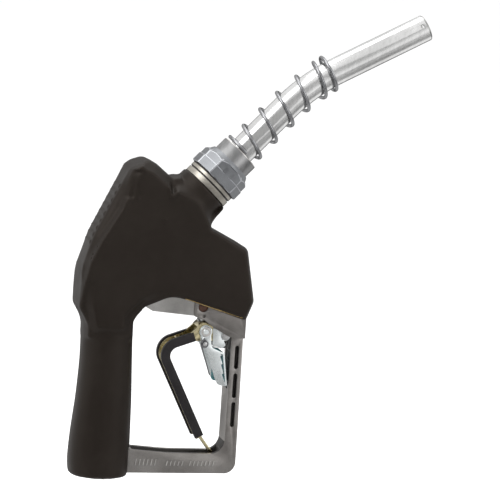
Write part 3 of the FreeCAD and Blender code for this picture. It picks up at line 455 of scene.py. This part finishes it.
def line_distance(x, z, points, closed=False):
    """The distance from each (x, z) to a line through points; a closed one gives less than 0 inside."""
    ends = np.roll(points, -1, axis=0) if closed else points[1:]
    starts = points if closed else points[:-1]
    nearest = np.full(x.shape, 1e9)
    inside = np.zeros(x.shape, bool)
    for (ax, az), (bx, bz) in zip(starts, ends):
        dx, dz = bx - ax, bz - az
        length = dx * dx + dz * dz
        if length < 1e-12:
            continue
        share = np.clip(((x - ax) * dx + (z - az) * dz) / length, 0, 1)
        nearest = np.minimum(nearest, (x - ax - share * dx) ** 2 + (z - az - share * dz) ** 2)
        if closed:
            crosses = ((az > z) != (bz > z)) & (x < ax + dx * (z - az) / (dz if dz else 1e-9))
            inside ^= crosses
    nearest = np.sqrt(nearest)
    return np.where(inside, -nearest, nearest) if closed else nearest


# ---------------------------------------------------------------- jacket
NECK_ANGLE = math.radians(NECK_DEGREES)
NECK_START = (75.55, 229.45)
JACKET_OUTLINE = [
    (-16.4, 117, 8), (-24.9, 131, 8), (-24.3, 160, 30), (-16.5, 186, 60), (8.5, 238, 8), (21.5, 244.6, 5),
    (28.5, 241.5, 6), (42.0, 230.5, 4), (48.5, 232, 4), (54.5, 237, 2), (83.5, 210, 3), (71.0, 195.5, 3),
    (102.5, 179.5, 6), (110.2, 139, 6), (104.5, 123.8, 2), (60, 138.5, 12), (45, 142, 18), (26, 132.5, 10),
    (16.8, 121, 4), (16.4, 109, 0.5), (-16.4, 109, 0.5),
]
CREST = [(21.5, 244.6), (28.5, 241.5), (42, 230.5)]
CORE_FOOT = [(-14, 134), (-10, 118), (8, 118), (8, 128), (22, 142), (45, 153), (45, 170), (-14, 170)]
VALLEY_TIP = (39.6, 217.8)
VALLEY_FOLD = [(36.0, 229.0), VALLEY_TIP, (53.0, 230.5)]
VALLEY_MOUTH = (42, 234)
SPINE = [(-24.9, 128), (-24.6, 150), (-22.3, 168), (-16.5, 186), (-8, 204), (0.5, 222), (8.5, 238),
         (15, 242), (21.5, 244.6)]
RIDGE_HEIGHTS = (132, 140, 150, 168, 185, 208, 215, 222, 232, 240)
RIDGE_REACH = (0.6, 1.0, 2.0, 4.2, 6.6, 9.0, 8.2, 6.0, 2.8, 1.5)
RIDGE_HALF = 22.0
BAND_HALF = 13.0
HALF_WIDTH = 25.5
SHOULDER = 6.0
DOTS = ((13.8, 216.2), (35.5, 200.2))
SPINE_BARS = 9
SPINE_BAR_HEIGHT = 0.8
GRIP_HEIGHTS = (0, 3, 12, 32, 60, 88, 124, 140)
GRIP_ACROSS = (22.2, 23.5, 23.6, 22.9, 21.2, 19.8, 19.3, 19.3)
GRIP_SIDE = (20.5, 21.6, 21.6, 21.2, 20.4, 19.6, 19.2, 19.2)
GRIP_CENTRE = (0.1, -0.3, -0.6, -0.2, 0.9, 1.0, 0.0, 0.0)
GRIP_SQUARENESS = 2.25
GRIP_TOP = 150
COLLAR_HALF = 20.6
COLLAR_END = -8.8
SKIRT_ROOM = [(63.8, 147), (63.8, 122), (70, 108), (107, 108), (107, 147)]
SKIRT_HALF = 15.1
TRAY_ROOM = [(23.8, 149), (23.8, 128), (70, 120), (70, 149)]
TRAY_HALF = 13.6
WALL = 3.0
GRID = 1.0
RIM_START, RIM_END = Vector((46, 142.0)), Vector((104.5, 123.8))
RIM_BAND = 1.7


def smooth_profile(heights, values, z):
    """Values between heights, with the corners of the run rounded off."""
    fine = np.arange(-30, 200, 1.0)
    run = np.interp(fine, heights, values)
    for _ in range(3):
        run = np.convolve(np.pad(run, 5, mode="edge"), np.ones(11) / 11, mode="valid")
    return np.interp(z, fine, run)


def neck_place(x, z):
    """How far each (x, z) is along the neck, and how far off its centre line."""
    nx, nz = math.cos(NECK_ANGLE), math.sin(NECK_ANGLE)
    right_of, above = x - NECK_START[0], z - NECK_START[1]
    return right_of * nx + above * nz, -right_of * nz + above * nx


def body_width(x, z, depth, spine):
    """Half the width across: a flat band on the spine, a raised ridge, then nearly flat sides."""
    ridge = np.interp(z, RIDGE_HEIGHTS, RIDGE_REACH)
    band = BAND_HALF + 4.0 * smooth_step(z, 176, 140)
    chamfer = band + (RIDGE_HALF - band) * np.clip(spine / ridge, 0, 4) ** 1.25
    side = 21.9 + 0.26 * np.clip(spine - ridge, 0, 40)
    facet = smooth_step(z, 212, 217) * smooth_step(z, 240, 236)
    side = soft_min(side, 18.2 + 0.85 * np.clip(spine - ridge, 0, 30) + 8 * (1 - facet), 0.8)
    width = soft_min(chamfer, side, 0.9)
    present = smooth_step(z, 150, 172) * smooth_step(z, 236, 214)
    width = width + 1.9 * present * np.exp(-((spine - ridge - 0.2) / 1.35) ** 2)
    width = width - 1.0 * present * np.exp(-((spine - ridge + 3.2) / 1.5) ** 2)
    thin = HALF_WIDTH - 3.0 * smooth_step(x, 62, 112)
    width = soft_min(width, thin, 3.0)
    # rounded shoulders along the other edges
    shoulder = thin - SHOULDER * (1 - np.clip(depth / SHOULDER, 0, 1)) ** 2.2
    away = smooth_step(spine, 3.0, 9.0)
    width = np.minimum(width, shoulder + (1 - away) * 30)
    # the top falls away to both sides above an arc
    crest = line_distance(x, z, np.array(CREST))
    return soft_min(width, 11.5 + 1.4 * crest, 0.8)


def collared(width, along, off):
    """The width with a round collar around the neck."""
    floor_half = np.maximum(12.5 - 9.5 * smooth_step(along, -19, -14), 14 * smooth_step(off, -13, -18))
    collar = np.sqrt(np.maximum(COLLAR_HALF ** 2 - (off - 0.7) ** 2, floor_half ** 2))
    near = smooth_step(along, -31, -17) * smooth_step(off, -27, -20.5) * smooth_step(off, 32, 22)
    return width * (1 - near) + np.minimum(width, collar) * near


def valleyed(width, x, z):
    """The width with the valley between peak and collar: a wedge, deepest at its open top, with a fold."""
    left_wall = ((x - VALLEY_TIP[0]) * 11.2 + (z - VALLEY_TIP[1]) * 3.6) / 11.76
    right_wall = ((z - VALLEY_TIP[1]) * 13.4 - (x - VALLEY_TIP[0]) * 12.7) / 18.46
    recess = np.clip(soft_min(left_wall, right_wall, 1.0) / 3.6, 0, 1)
    width = soft_min(width, RIDGE_HALF - 7.0 * recess * recess * (3 - 2 * recess), 0.5)
    fold = line_distance(x, z, np.array(VALLEY_FOLD))
    width = width + 1.2 * np.exp(-(fold / 1.5) ** 2) * smooth_step(z, 230, 222)
    return soft_min(width, 12.0 + 1.2 * np.hypot(x - VALLEY_MOUTH[0], z - VALLEY_MOUTH[1]), 1.2)


def drawn_in(width, x, z):
    """The width drawn in towards the handle, as far as the casting under it lets it."""
    casting = np.maximum(line_distance(x, z, np.array(CORE_FOOT), closed=True) - 1, 0)
    low = smooth_step(z, 158, 126) * smooth_step(x, 50, 24)
    return width * (1 - low) + np.minimum(width, np.maximum(20.7 - 1.1 * casting, 15.0)) * low


def spine_bars(x, z, across, spine):
    """How far plain raised bars stand out of the spine band at each point."""
    raised = []
    for index in range(SPINE_BARS):
        share = (index + 0.5) / SPINE_BARS
        along_bar = (x - (-19.8 + share * 23.0)) * 0.43 + (z - (178.0 + share * 48.0)) * 0.90
        bar = smooth_step(np.abs(along_bar), 2.0, 1.0)[:, None, :] * smooth_step(across, 10.6, 9.2)
        raised.append(SPINE_BAR_HEIGHT * bar * (spine < 3)[:, None, :])
    return raised


def handle(x, across, z):
    """The handle's distance field: rounded rectangles stacked along Z."""
    long_half = smooth_profile(GRIP_HEIGHTS, GRIP_ACROSS, z)
    side_half = smooth_profile(GRIP_HEIGHTS, GRIP_SIDE, z)
    centre = smooth_profile(GRIP_HEIGHTS, GRIP_CENTRE, z)
    ring = np.abs((x - centre) / long_half) ** GRIP_SQUARENESS + (across / side_half) ** GRIP_SQUARENESS
    grip = (ring ** (1 / GRIP_SQUARENESS) - 1) * 20.0
    grip = soft_max(grip, 0.2 - z, 3.0)
    return soft_max(grip, z - GRIP_TOP, 9.0)


def hollow_field(outside, x2, across, z2, along, neck_distance):
    """The room inside an even wall, open at the neck, under the casting and at the inlet."""
    x, z = x2[:, None, :], z2[:, None, :]
    slope = np.sqrt(sum(part ** 2 for part in np.gradient(outside, GRID)))
    hollow = outside / np.maximum(slope, 0.8) + WALL
    hollow = np.minimum(hollow, np.maximum(np.hypot(x, across) - 15.7, z - 130))
    hollow = np.minimum(hollow, np.maximum(np.hypot(x, across) - 19.1, z - 22.1))
    neck_bore = np.where(along < COLLAR_END, 17.6, 20.05)
    hollow = np.minimum(hollow, np.maximum(neck_distance - neck_bore, -34 - along))
    for room, half in ((SKIRT_ROOM, SKIRT_HALF), (TRAY_ROOM, TRAY_HALF)):
        section = line_distance(x2, z2, np.array(room), closed=True)
        hollow = np.minimum(hollow, np.maximum(section[:, None, :], across - half))
    return np.minimum(hollow, np.maximum(np.maximum(12 - x, across - 9.7), z - 22.2))


def jacket():
    """The dipped skin: body, handle and collar as one distance field, hollowed to an even wall."""
    xs = np.arange(-27.5, 113.5, GRID)
    ys = np.arange(-27.5, 28.0, GRID)
    zs = np.arange(-1.5, 247.5, GRID)
    x2, z2 = np.meshgrid(xs, zs, indexing="ij")
    x3, across, z3 = xs[:, None, None], np.abs(ys)[None, :, None], zs[None, None, :]
    edge = line_distance(x2, z2, rounded_outline(JACKET_OUTLINE), closed=True)
    spine = line_distance(x2, z2, np.array(SPINE))
    along, off = neck_place(x2, z2)

    width = collared(body_width(x2, z2, -edge, spine), along, off)
    width = drawn_in(valleyed(width, x2, z2), x2, z2)
    for dot_x, dot_z in DOTS:
        width = width + 0.7 * np.exp(-((x2 - dot_x) ** 2 + (z2 - dot_z) ** 2) / 1.4)
    block = soft_max(edge[:, None, :] + 0 * across, (across - width[:, None, :]) * 0.9, 2.2)
    for raised in spine_bars(x2, z2, across, spine):
        block = block - raised
    outside = soft_min(block, handle(x3, across, z3), 5.0)

    along = along[:, None, :]
    neck_distance = np.hypot(off[:, None, :], across)
    field = np.maximum(outside, -hollow_field(outside, x2, across, z2, along, neck_distance))
    # the collar's end, square to the neck
    field = np.maximum(field, np.minimum(along - COLLAR_END, 32 - neck_distance))
    points, quads = surface(field.astype(np.float32), (xs[0], ys[0], zs[0]), GRID)
    made = new_object("jacket_skin", points * MM, quads, [black_vinyl, cut_edge], "nozzle")
    smoother = made.modifiers.new("even", "SMOOTH")
    smoother.factor = 0.5
    smoother.iterations = 2
    applied(made)
    way = (RIM_END - RIM_START).normalized()
    for polygon in made.data.polygons:
        from_start = Vector((polygon.center.x / MM, polygon.center.z / MM)) - RIM_START
        if 9 < from_start.dot(way) < 62 and polygon.normal.z < -0.45 \
                and abs(from_start.cross(way)) < RIM_BAND and abs(polygon.center.y) / MM > 19.5:
            polygon.material_index = 1
    made.data.shade_smooth()
    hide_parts("jacket")


jacket()

# ---------------------------------------------------------------- anchor spring and spout
BEND_START = 78.0
BEND_RADIUS = 150.0
BEND_ANGLE = math.radians(19)
TIP_END = 204.7
ANCHOR_START = 31.0
ANCHOR_TURNS = 6.5
ANCHOR_STEPS = 320
ANCHOR_RADIUS = 13.0
ANCHOR_WIRE_RADIUS = 1.35


def spout_place(distance):
    """A point of the spout's centre line and its direction, a distance in millimetres along it."""
    start = Vector((NECK_START[0], 0, NECK_START[1]))
    heading = NECK_ANGLE
    ahead = Vector((math.cos(heading), 0, math.sin(heading)))
    if distance <= BEND_START:
        return start + ahead * distance, ahead
    turned = min((distance - BEND_START) / BEND_RADIUS, BEND_ANGLE)
    heading = NECK_ANGLE - turned
    point = start + ahead * BEND_START + Vector((
        BEND_RADIUS * (math.sin(NECK_ANGLE) - math.sin(heading)), 0,
        BEND_RADIUS * (math.cos(heading) - math.cos(NECK_ANGLE))))
    ahead = Vector((math.cos(heading), 0, math.sin(heading)))
    return point + ahead * max(0, distance - BEND_START - BEND_RADIUS * turned), ahead


def anchor_run(turn):
    """How far the anchor's wire has gone along the spout after this many turns."""
    first_turn, pitch, even_until = 9.3, 17.8, 4.75
    if turn < 1:
        return first_turn * turn ** 1.6
    if turn < even_until:
        return first_turn + pitch * (turn - 1)
    rest = turn - even_until
    return first_turn + pitch * (even_until - 1) + 16.2 * rest - 4.7 * rest * rest


def anchor_points():
    """The wire's centre line; its first turn is wider, and its last two lean over the top of the spout."""
    points = []
    for index in range(ANCHOR_STEPS + 1):
        turn = index / ANCHOR_STEPS * ANCHOR_TURNS
        point, ahead = spout_place(ANCHOR_START + anchor_run(turn))
        over = Vector((-ahead.z, 0, ahead.x))
        angle = 2 * math.pi * turn - math.pi / 2
        first = max(0.0, 1 - turn)
        last = min(1.0, max(0.0, turn - 4.5))
        radius = ANCHOR_RADIUS + 1.4 * first + 0.6 * last
        points.append(point + over * (radius * math.cos(angle) + 1.2 * last)
                      + Vector((0, radius * math.sin(angle), 0)))
    return points


anchor = tube("anchor_coil", anchor_points(), ANCHOR_WIRE_RADIUS, [wire_steel], "nozzle", sides=16)
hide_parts("anchor_spring")

# ---------------------------------------------------------------- turned pieces
def revolved(name, start, ahead, over, rings, slots, materials, body, turns=96, closed=False):
    """Rings of (distance along, radius or radius function of the angle) about an axis, in millimetres."""
    side = ahead.cross(over)
    vertices = []
    for distance, radius in rings:
        for step in range(turns):
            angle = 2 * math.pi * step / turns
            reach_out = radius(angle) if callable(radius) else radius
            outward = over * math.cos(angle) + side * math.sin(angle)
            vertices.append((start + ahead * distance + outward * reach_out) * MM)
    faces = []
    for index in range(len(rings) if closed else len(rings) - 1):
        first = index * turns
        second = (index + 1) % len(rings) * turns
        for step in range(turns):
            following = (step + 1) % turns
            faces.append((first + step, first + following, second + following, second + step))
    if not closed:
        faces.append(tuple(range(turns))[::-1])
        faces.append(tuple(range((len(rings) - 1) * turns, len(rings) * turns)))
    made = new_object(name, vertices, faces, materials, body, TURNED_SHARP_ANGLE)
    for polygon in made.data.polygons:
        polygon.material_index = slots(polygon.index // turns, polygon.index % turns / turns * 2 * math.pi)
    return made


NECK_AHEAD = Vector((math.cos(NECK_ANGLE), 0, math.sin(NECK_ANGLE)))
NECK_OVER = Vector((math.sin(NECK_ANGLE), 0, -math.cos(NECK_ANGLE)))
NECK_POINT = Vector((NECK_START[0], 0, NECK_START[1]))
NUT_CORNERS = [math.radians(corner - 90) for corner in (31, 70, 110, 149, 211, 250, 290, 329)]
NUT_RADIUS = 22.3
NUT_TURNS = 540
CROWN_START = 8.5
CROWN_STEP = 0.3
CROWN_RINGS = 23
CROWN_FIRST_RING = 6
RIVET = (75.4, 113.8)
RIVET_FACE = 10.1
RIVET_HEAD = [(0.0, 2.5), (0.05, 4.0), (0.35, 4.2), (0.75, 4.1), (0.95, 3.7), (0.98, 2.75), (0.72, 2.55),
              (0.74, 2.2), (0.98, 1.9), (1.0, 0.9)]
# rings on the heads' rolled rims that take the lighter edge tone: a painted highlight
RIVET_HIGHLIGHT_RINGS = (2, 3, 4, 14, 15, 16)


def nut_flats(angle, radius):
    """The distance out to each of the nut's two nearest flats at this angle."""
    reaches = []
    for index, corner in enumerate(NUT_CORNERS):
        following = NUT_CORNERS[(index + 1) % len(NUT_CORNERS)]
        half = ((following - corner) % (2 * math.pi)) / 2
        facing = math.cos(angle - corner - half)
        if facing > 0.2:
            reaches.append(radius * math.cos(half) / facing)
    return sorted(reaches)[:2]


def crown_reach(distance):
    """The radius that the nut's chamfered crown is turned down to."""
    return NUT_RADIUS + 1.2 - max(0, distance - 11.3) * 1.02


def spout_nut():
    """The nut: a flange of flats, a groove, flats under a turned crown, and a bore."""
    def flat(radius, limit):
        def reach_out(angle):
            nearest, other = nut_flats(angle, radius)
            return min(float(soft_min(nearest, other, 0.5)), limit)
        return reach_out

    rings = [(0.2, 19.1), (0.2, flat(NUT_RADIUS - 0.45, 99)), (0.6, flat(NUT_RADIUS - 0.05, 99)),
             (7.2, flat(NUT_RADIUS - 0.05, 99)), (7.75, flat(NUT_RADIUS - 0.1, 99)),
             (8.15, flat(NUT_RADIUS - 0.65, 99))]
    for step in range(CROWN_RINGS):
        distance = CROWN_START + step * CROWN_STEP
        rings.append((distance, flat(NUT_RADIUS - 0.65, crown_reach(distance))))
    rings += [(15.35, 19.3), (15.4, 18.9), (16.2, 18.5), (18.2, 17.4), (18.7, 17.0), (18.75, 16.1),
              (16.5, 16.0), (12.6, 16.0), (12.5, 19.1)]
    crown_end = CROWN_FIRST_RING + CROWN_RINGS

    def slots(index, angle):
        # slot 1 goes on the flange's edges, the flats' corners and the crown's rim: edge wear together with a
        # painted highlight
        worn = index in (1, 4, 5, crown_end, crown_end + 4)
        if 1 <= index < crown_end:
            nearest, other = nut_flats(angle - math.pi / NUT_TURNS, NUT_RADIUS)
            worn = worn or other - nearest < 0.62
            if index >= CROWN_FIRST_RING:
                distance = CROWN_START + (index - CROWN_FIRST_RING) * CROWN_STEP
                worn = worn or abs(crown_reach(distance) - nearest + 0.6) < 0.34
        return 1 if worn else 0

    made = revolved("nut_detail", NECK_POINT, NECK_AHEAD, NECK_OVER, rings, slots, [anodised, anodised_edge_highlight],
                    "nozzle", turns=NUT_TURNS, closed=True)
    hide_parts("spout_nut")


def lever_rivet():
    """The rivet through the bracket, with a rolled head on each side."""
    rings = [(-(RIVET_FACE + rise), radius) for rise, radius in RIVET_HEAD[::-1]]
    rings += [(RIVET_FACE + rise, radius) for rise, radius in RIVET_HEAD]
    made = revolved("rivet_detail", Vector((RIVET[0], 0, RIVET[1])), Vector((0, 1, 0)), Vector((1, 0, 0)),
                    rings, lambda index, angle: 1 if index in RIVET_HIGHLIGHT_RINGS else 0, [zinc, cast_edge_highlight],
                    "lever")
    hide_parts("lever_rivet")


spout_nut()
lever_rivet()

# ---------------------------------------------------------------- refined CAD shapes
CAST, CAST_PAINTED_LIGHT, NECK, NECK_GROOVE_SHADE = 0, 4, 2, 3
GUARD_PAINTED_SHADE = 2
CLIP_TEAL_SHADE = 2
NECK_GROOVE_ENDS = (-1.0, -3.3, -4.7)
CLIP_WINDOW_START, CLIP_WINDOW_TOP = 86.5, 97.5
TIP_RING = 1.3


def body_pick(centre, normal):
    """The tray's side faces take a lighter copy of the cast metal, a painted highlight, and the neck's end
    and its groove take painted shade.
    """
    along = (centre - NECK_POINT).dot(NECK_AHEAD)
    if centre.x < 63.5 and 118 < centre.z < 150 and abs(centre.y) > 10:
        return CAST_PAINTED_LIGHT
    if along < -12 or centre.z < 200:
        return CAST
    end, groove_end, groove_start = NECK_GROOVE_ENDS
    return NECK_GROOVE_SHADE if along > end or groove_start < along < groove_end else NECK


def guard_pick(centre, normal):
    """Painted shade in the lower bar's channel, in the front bar's slots and in the inner corner."""
    across = abs(centre.y)
    in_channel = across < 6.1 and 24 < centre.x < 93.4 and 7 < centre.z < 40
    in_slot = across < 9.4 and 99.3 < centre.x < 102.7 and 39.5 < centre.z < 103.3
    in_corner = across < 8.8 and centre.x > 84 and 17 < centre.z < 34 and normal.x < -0.08 and normal.z > 0.08
    return GUARD_PAINTED_SHADE if in_channel or in_slot or in_corner else 0


BAR_FACE, BAR_TOP = 9.3, 10.0
BAR_FOOT, BAR_START, BAR_PITCH = 8.8, 26.5, 3.05
BAR_HALF, BAR_LEAN = 0.6, 1.1
BAR_PLACES = 21
BAR_GAPS = (6, 7, 13)


def raised_bars(made):
    """Two rows of plain raised bars cast on each side of the guard's lower bar."""
    work = bmesh.new()
    work.from_mesh(made.data)
    for side in (-1, 1):
        for index in range(BAR_PLACES):
            if index in BAR_GAPS:
                continue
            x = BAR_START + index * BAR_PITCH
            tall = 5.4 if index < BAR_GAPS[0] else 4.2
            outline = [(x - BAR_HALF, BAR_FOOT), (x + BAR_HALF, BAR_FOOT),
                       (x + BAR_HALF + BAR_LEAN, BAR_FOOT + tall), (x - BAR_HALF + BAR_LEAN, BAR_FOOT + tall)]
            low = [work.verts.new((px * MM, side * BAR_FACE * MM, pz * MM)) for px, pz in outline]
            centre = [sum(axis) / 4 for axis in zip(*outline)]
            high = [work.verts.new(((px + (centre[0] - px) * 0.28) * MM, side * BAR_TOP * MM,
                                    (pz + (centre[1] - pz) * 0.1) * MM)) for px, pz in outline]
            faces = [high] + [[low[k], low[(k + 1) % 4], high[(k + 1) % 4], high[k]] for k in range(4)]
            for face in faces:
                made_face = work.faces.new(face if side < 0 else face[::-1])
                # the bars' tops take the lighter worn cast tone: wear together with a painted highlight
                made_face.material_index = 1 if face is high else 0
    bmesh.ops.recalc_face_normals(work, faces=work.faces)
    work.to_mesh(made.data)
    work.free()


def pressed_spring(node, joint_name):
    """A copy of the spring's CAD shape in wire steel, riding on the nozzle body; its joint's axis is read but
    not used.
    """
    joint = next(item for item in frame["joints"] if item["name"] == joint_name)
    way = Vector(joint["axis"]).normalized()
    mesh = nodes[node].data.copy()
    mesh.materials.clear()
    made = added(node + "_wire", mesh, [wire_steel])
    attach(made, "nozzle")
    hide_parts(node)
    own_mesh(made)


def clip_pick(centre, normal):
    """Teal painted shade on the clip's front part: on its edges, and on the inside of its far wall."""
    in_window = centre.x > CLIP_WINDOW_START and 74 < centre.z < CLIP_WINDOW_TOP
    return CLIP_TEAL_SHADE if in_window and (abs(normal.y) < 0.5 or normal.y < -0.5 and centre.y > 5) else 0


# the cuts mark off the neck's end and its groove, which take painted shade
refined("valve_body", [cast, cast_edge_highlight, neck_metal, cast_painted_shade, cast_painted_light], 0.4, pick=body_pick,
        cuts=[(NECK_POINT + NECK_AHEAD * cut, NECK_AHEAD) for cut in NECK_GROOVE_ENDS])
guard = refined("lever_guard", [cast, cast_worn_highlight, cast_painted_shade], 0.55, edge_slot=1, pick=guard_pick)
raised_bars(guard)
refined("spout_bushing", [turned, cast_edge_highlight], 0.5, edge_slot=1)
tip, tip_ahead = spout_place(TIP_END)
refined("spout_tube", [polished, tube_end], 0.25, edge_slot=1,
        pick=lambda centre, normal: int((centre - tip).dot(tip_ahead) > -TIP_RING),
        cuts=[(tip - tip_ahead * TIP_RING, tip_ahead)])
refined("lever", [yellow_zinc, zinc], 0.25)
refined("lever_cover", [grey_vinyl, black_vinyl], 0.5)
refined("fulcrum_bracket", [zinc, zinc], 0.25)
refined("hold_open_clip", [zinc, cast_edge_highlight, zinc_teal_shade], 0.2, pick=clip_pick,
        cuts=[(Vector((CLIP_WINDOW_START, 0, 0)), (1, 0, 0)), (Vector((0, 0, CLIP_WINDOW_TOP)), (0, 0, 1))])
refined("trip_plunger", [dark_steel, steel], 0.3, edge_slot=1)
# the latch strip's faces take painted shade, its rounded edges dark steel
refined("latch_strip", [cast_painted_shade, dark_steel], 0.2, edge_slot=1)
refined("side_plug", [brown_plug, brass], 0.3)
for name in ("guard_pin", "guard_screw", "fulcrum_pin", "spring_stud", "cap_screws"):
    refined(name, [steel, cast_edge_highlight], 0.2)
paint("clip_spring", dark_steel)
for name, joint_name in (("main_spring", "stem_slide"), ("plunger_spring", "plunger_slide"),
                         ("check_spring", "check_slide"), ("diaphragm_spring", "latch_slide")):
    pressed_spring(name, joint_name)
for name in ("valve_seat", "packing_nut", "check_seat", "poppet"):
    paint(name, brass)
for name in ("packing_rings", "diaphragm", "bushing_seal", "check_seal", "poppet_seal"):
    paint(name, black_rubber)
for name in ("latch_sleeve", "latch_balls", "valve_stem", "latch_pin", "inlet_strainer", "poppet_nut",
             "diaphragm_plate"):
    paint(name, steel)
for name in ("check_guide", "check_poppet"):
    paint(name, grey_plastic)
for name in ("poppet_cap", "diaphragm_cap"):
    paint(name, cast)
paint("vent_tube", polished)

# ---------------------------------------------------------------- floor and light
floor_tone = Nodes("floor_paper")
paper = floor_tone.noise(30, 4)
floor_tone.join(floor_tone.mix(paper, (0.965, 0.965, 0.965), (0.985, 0.985, 0.985)),
                floor_tone.shader.inputs["Base Color"])
floor_tone.set(Roughness=0.9, Specular_IOR_Level=0.1)
FLOOR_HALF = 9.0
FLOOR_HEIGHT = -0.16
CARD_CORNERS = ((-1, -1), (1, -1), (1, 1), (-1, 1))
floor_mesh = bpy.data.meshes.new("floor")
floor_mesh.from_pydata([(x * FLOOR_HALF, y * FLOOR_HALF, FLOOR_HEIGHT) for x, y in CARD_CORNERS], [],
                       [(0, 1, 2, 3)])
floor = added("floor", floor_mesh, [floor_tone.material])
floor.visible_glossy = False

world = bpy.data.worlds.new("studio")
bpy.context.scene.world = world
world.use_nodes = True
world.node_tree.nodes["Background"].inputs["Color"].default_value = (1, 1, 1, 1)
world.node_tree.nodes["Background"].inputs["Strength"].default_value = 1.04


def aimed(made, place, aim):
    """The object put at a place, its -Z towards the aim."""
    made.location = place
    made.rotation_euler = (Vector(aim) - Vector(place)).to_track_quat("-Z", "Y").to_euler()


def soft_light(name, place, aim, size, power):
    data = bpy.data.lights.new(name, "AREA")
    data.shape = "RECTANGLE"
    data.size, data.size_y = size
    data.energy = power
    aimed(added(name, data), place, aim)


def card(name, place, aim, size, shade):
    """A flag that shows only in reflections, as a studio one does, fading out towards its edges."""
    cloth = Nodes(name + "_cloth")
    cloth.join(cloth.mix(cloth.noise(4), (shade,) * 3, (shade * 1.2,) * 3), cloth.shader.inputs["Base Color"])
    cloth.set(Roughness=1.0, Specular_IOR_Level=0.0)
    parts = cloth.add("ShaderNodeSeparateXYZ")
    cloth.join(cloth.place, parts.inputs[0])
    fades = [cloth.remap(cloth.maths("ABSOLUTE", parts.outputs[axis], 0), 0.55, 1.0, 1, 0) for axis in (0, 1)]
    cloth.join(cloth.maths("MULTIPLY", *fades), cloth.shader.inputs["Alpha"])
    mesh = bpy.data.meshes.new(name)
    mesh.from_pydata([(x, y, 0) for x, y in CARD_CORNERS], [], [(0, 1, 2, 3)])
    made = added(name, mesh, [cloth.material])
    aimed(made, place, aim)
    made.scale = (size[0] / 2, size[1] / 2, 1)
    made.visible_camera = made.visible_diffuse = made.visible_shadow = False


middle = (0.09, 0, 0.18)
card("flag_front", VIEW_AIM + back * 3.2, VIEW_AIM, (4.4, 4.0), 0.40)
card("flag_behind", VIEW_AIM - back * 1.6, VIEW_AIM, (2.4, 2.4), 0.08)
card("flag_left", (-1.9, -1.5, 0.1), middle, (0.9, 2.4), 0.03)
card("flag_right", (1.6, -0.6, -0.4), middle, (1.2, 2.4), 0.35)
card("flag_low", (0.2, -1.3, -0.9), middle, (3.4, 1.5), 0.42)
soft_light("key", (-1.3, -0.6, 1.5), middle, (1.2, 1.6), 26)
soft_light("fill", (1.5, -1.6, 0.9), middle, (1.0, 1.6), 12)
soft_light("top", (0.2, 0.4, 1.9), middle, (1.6, 1.0), 14)
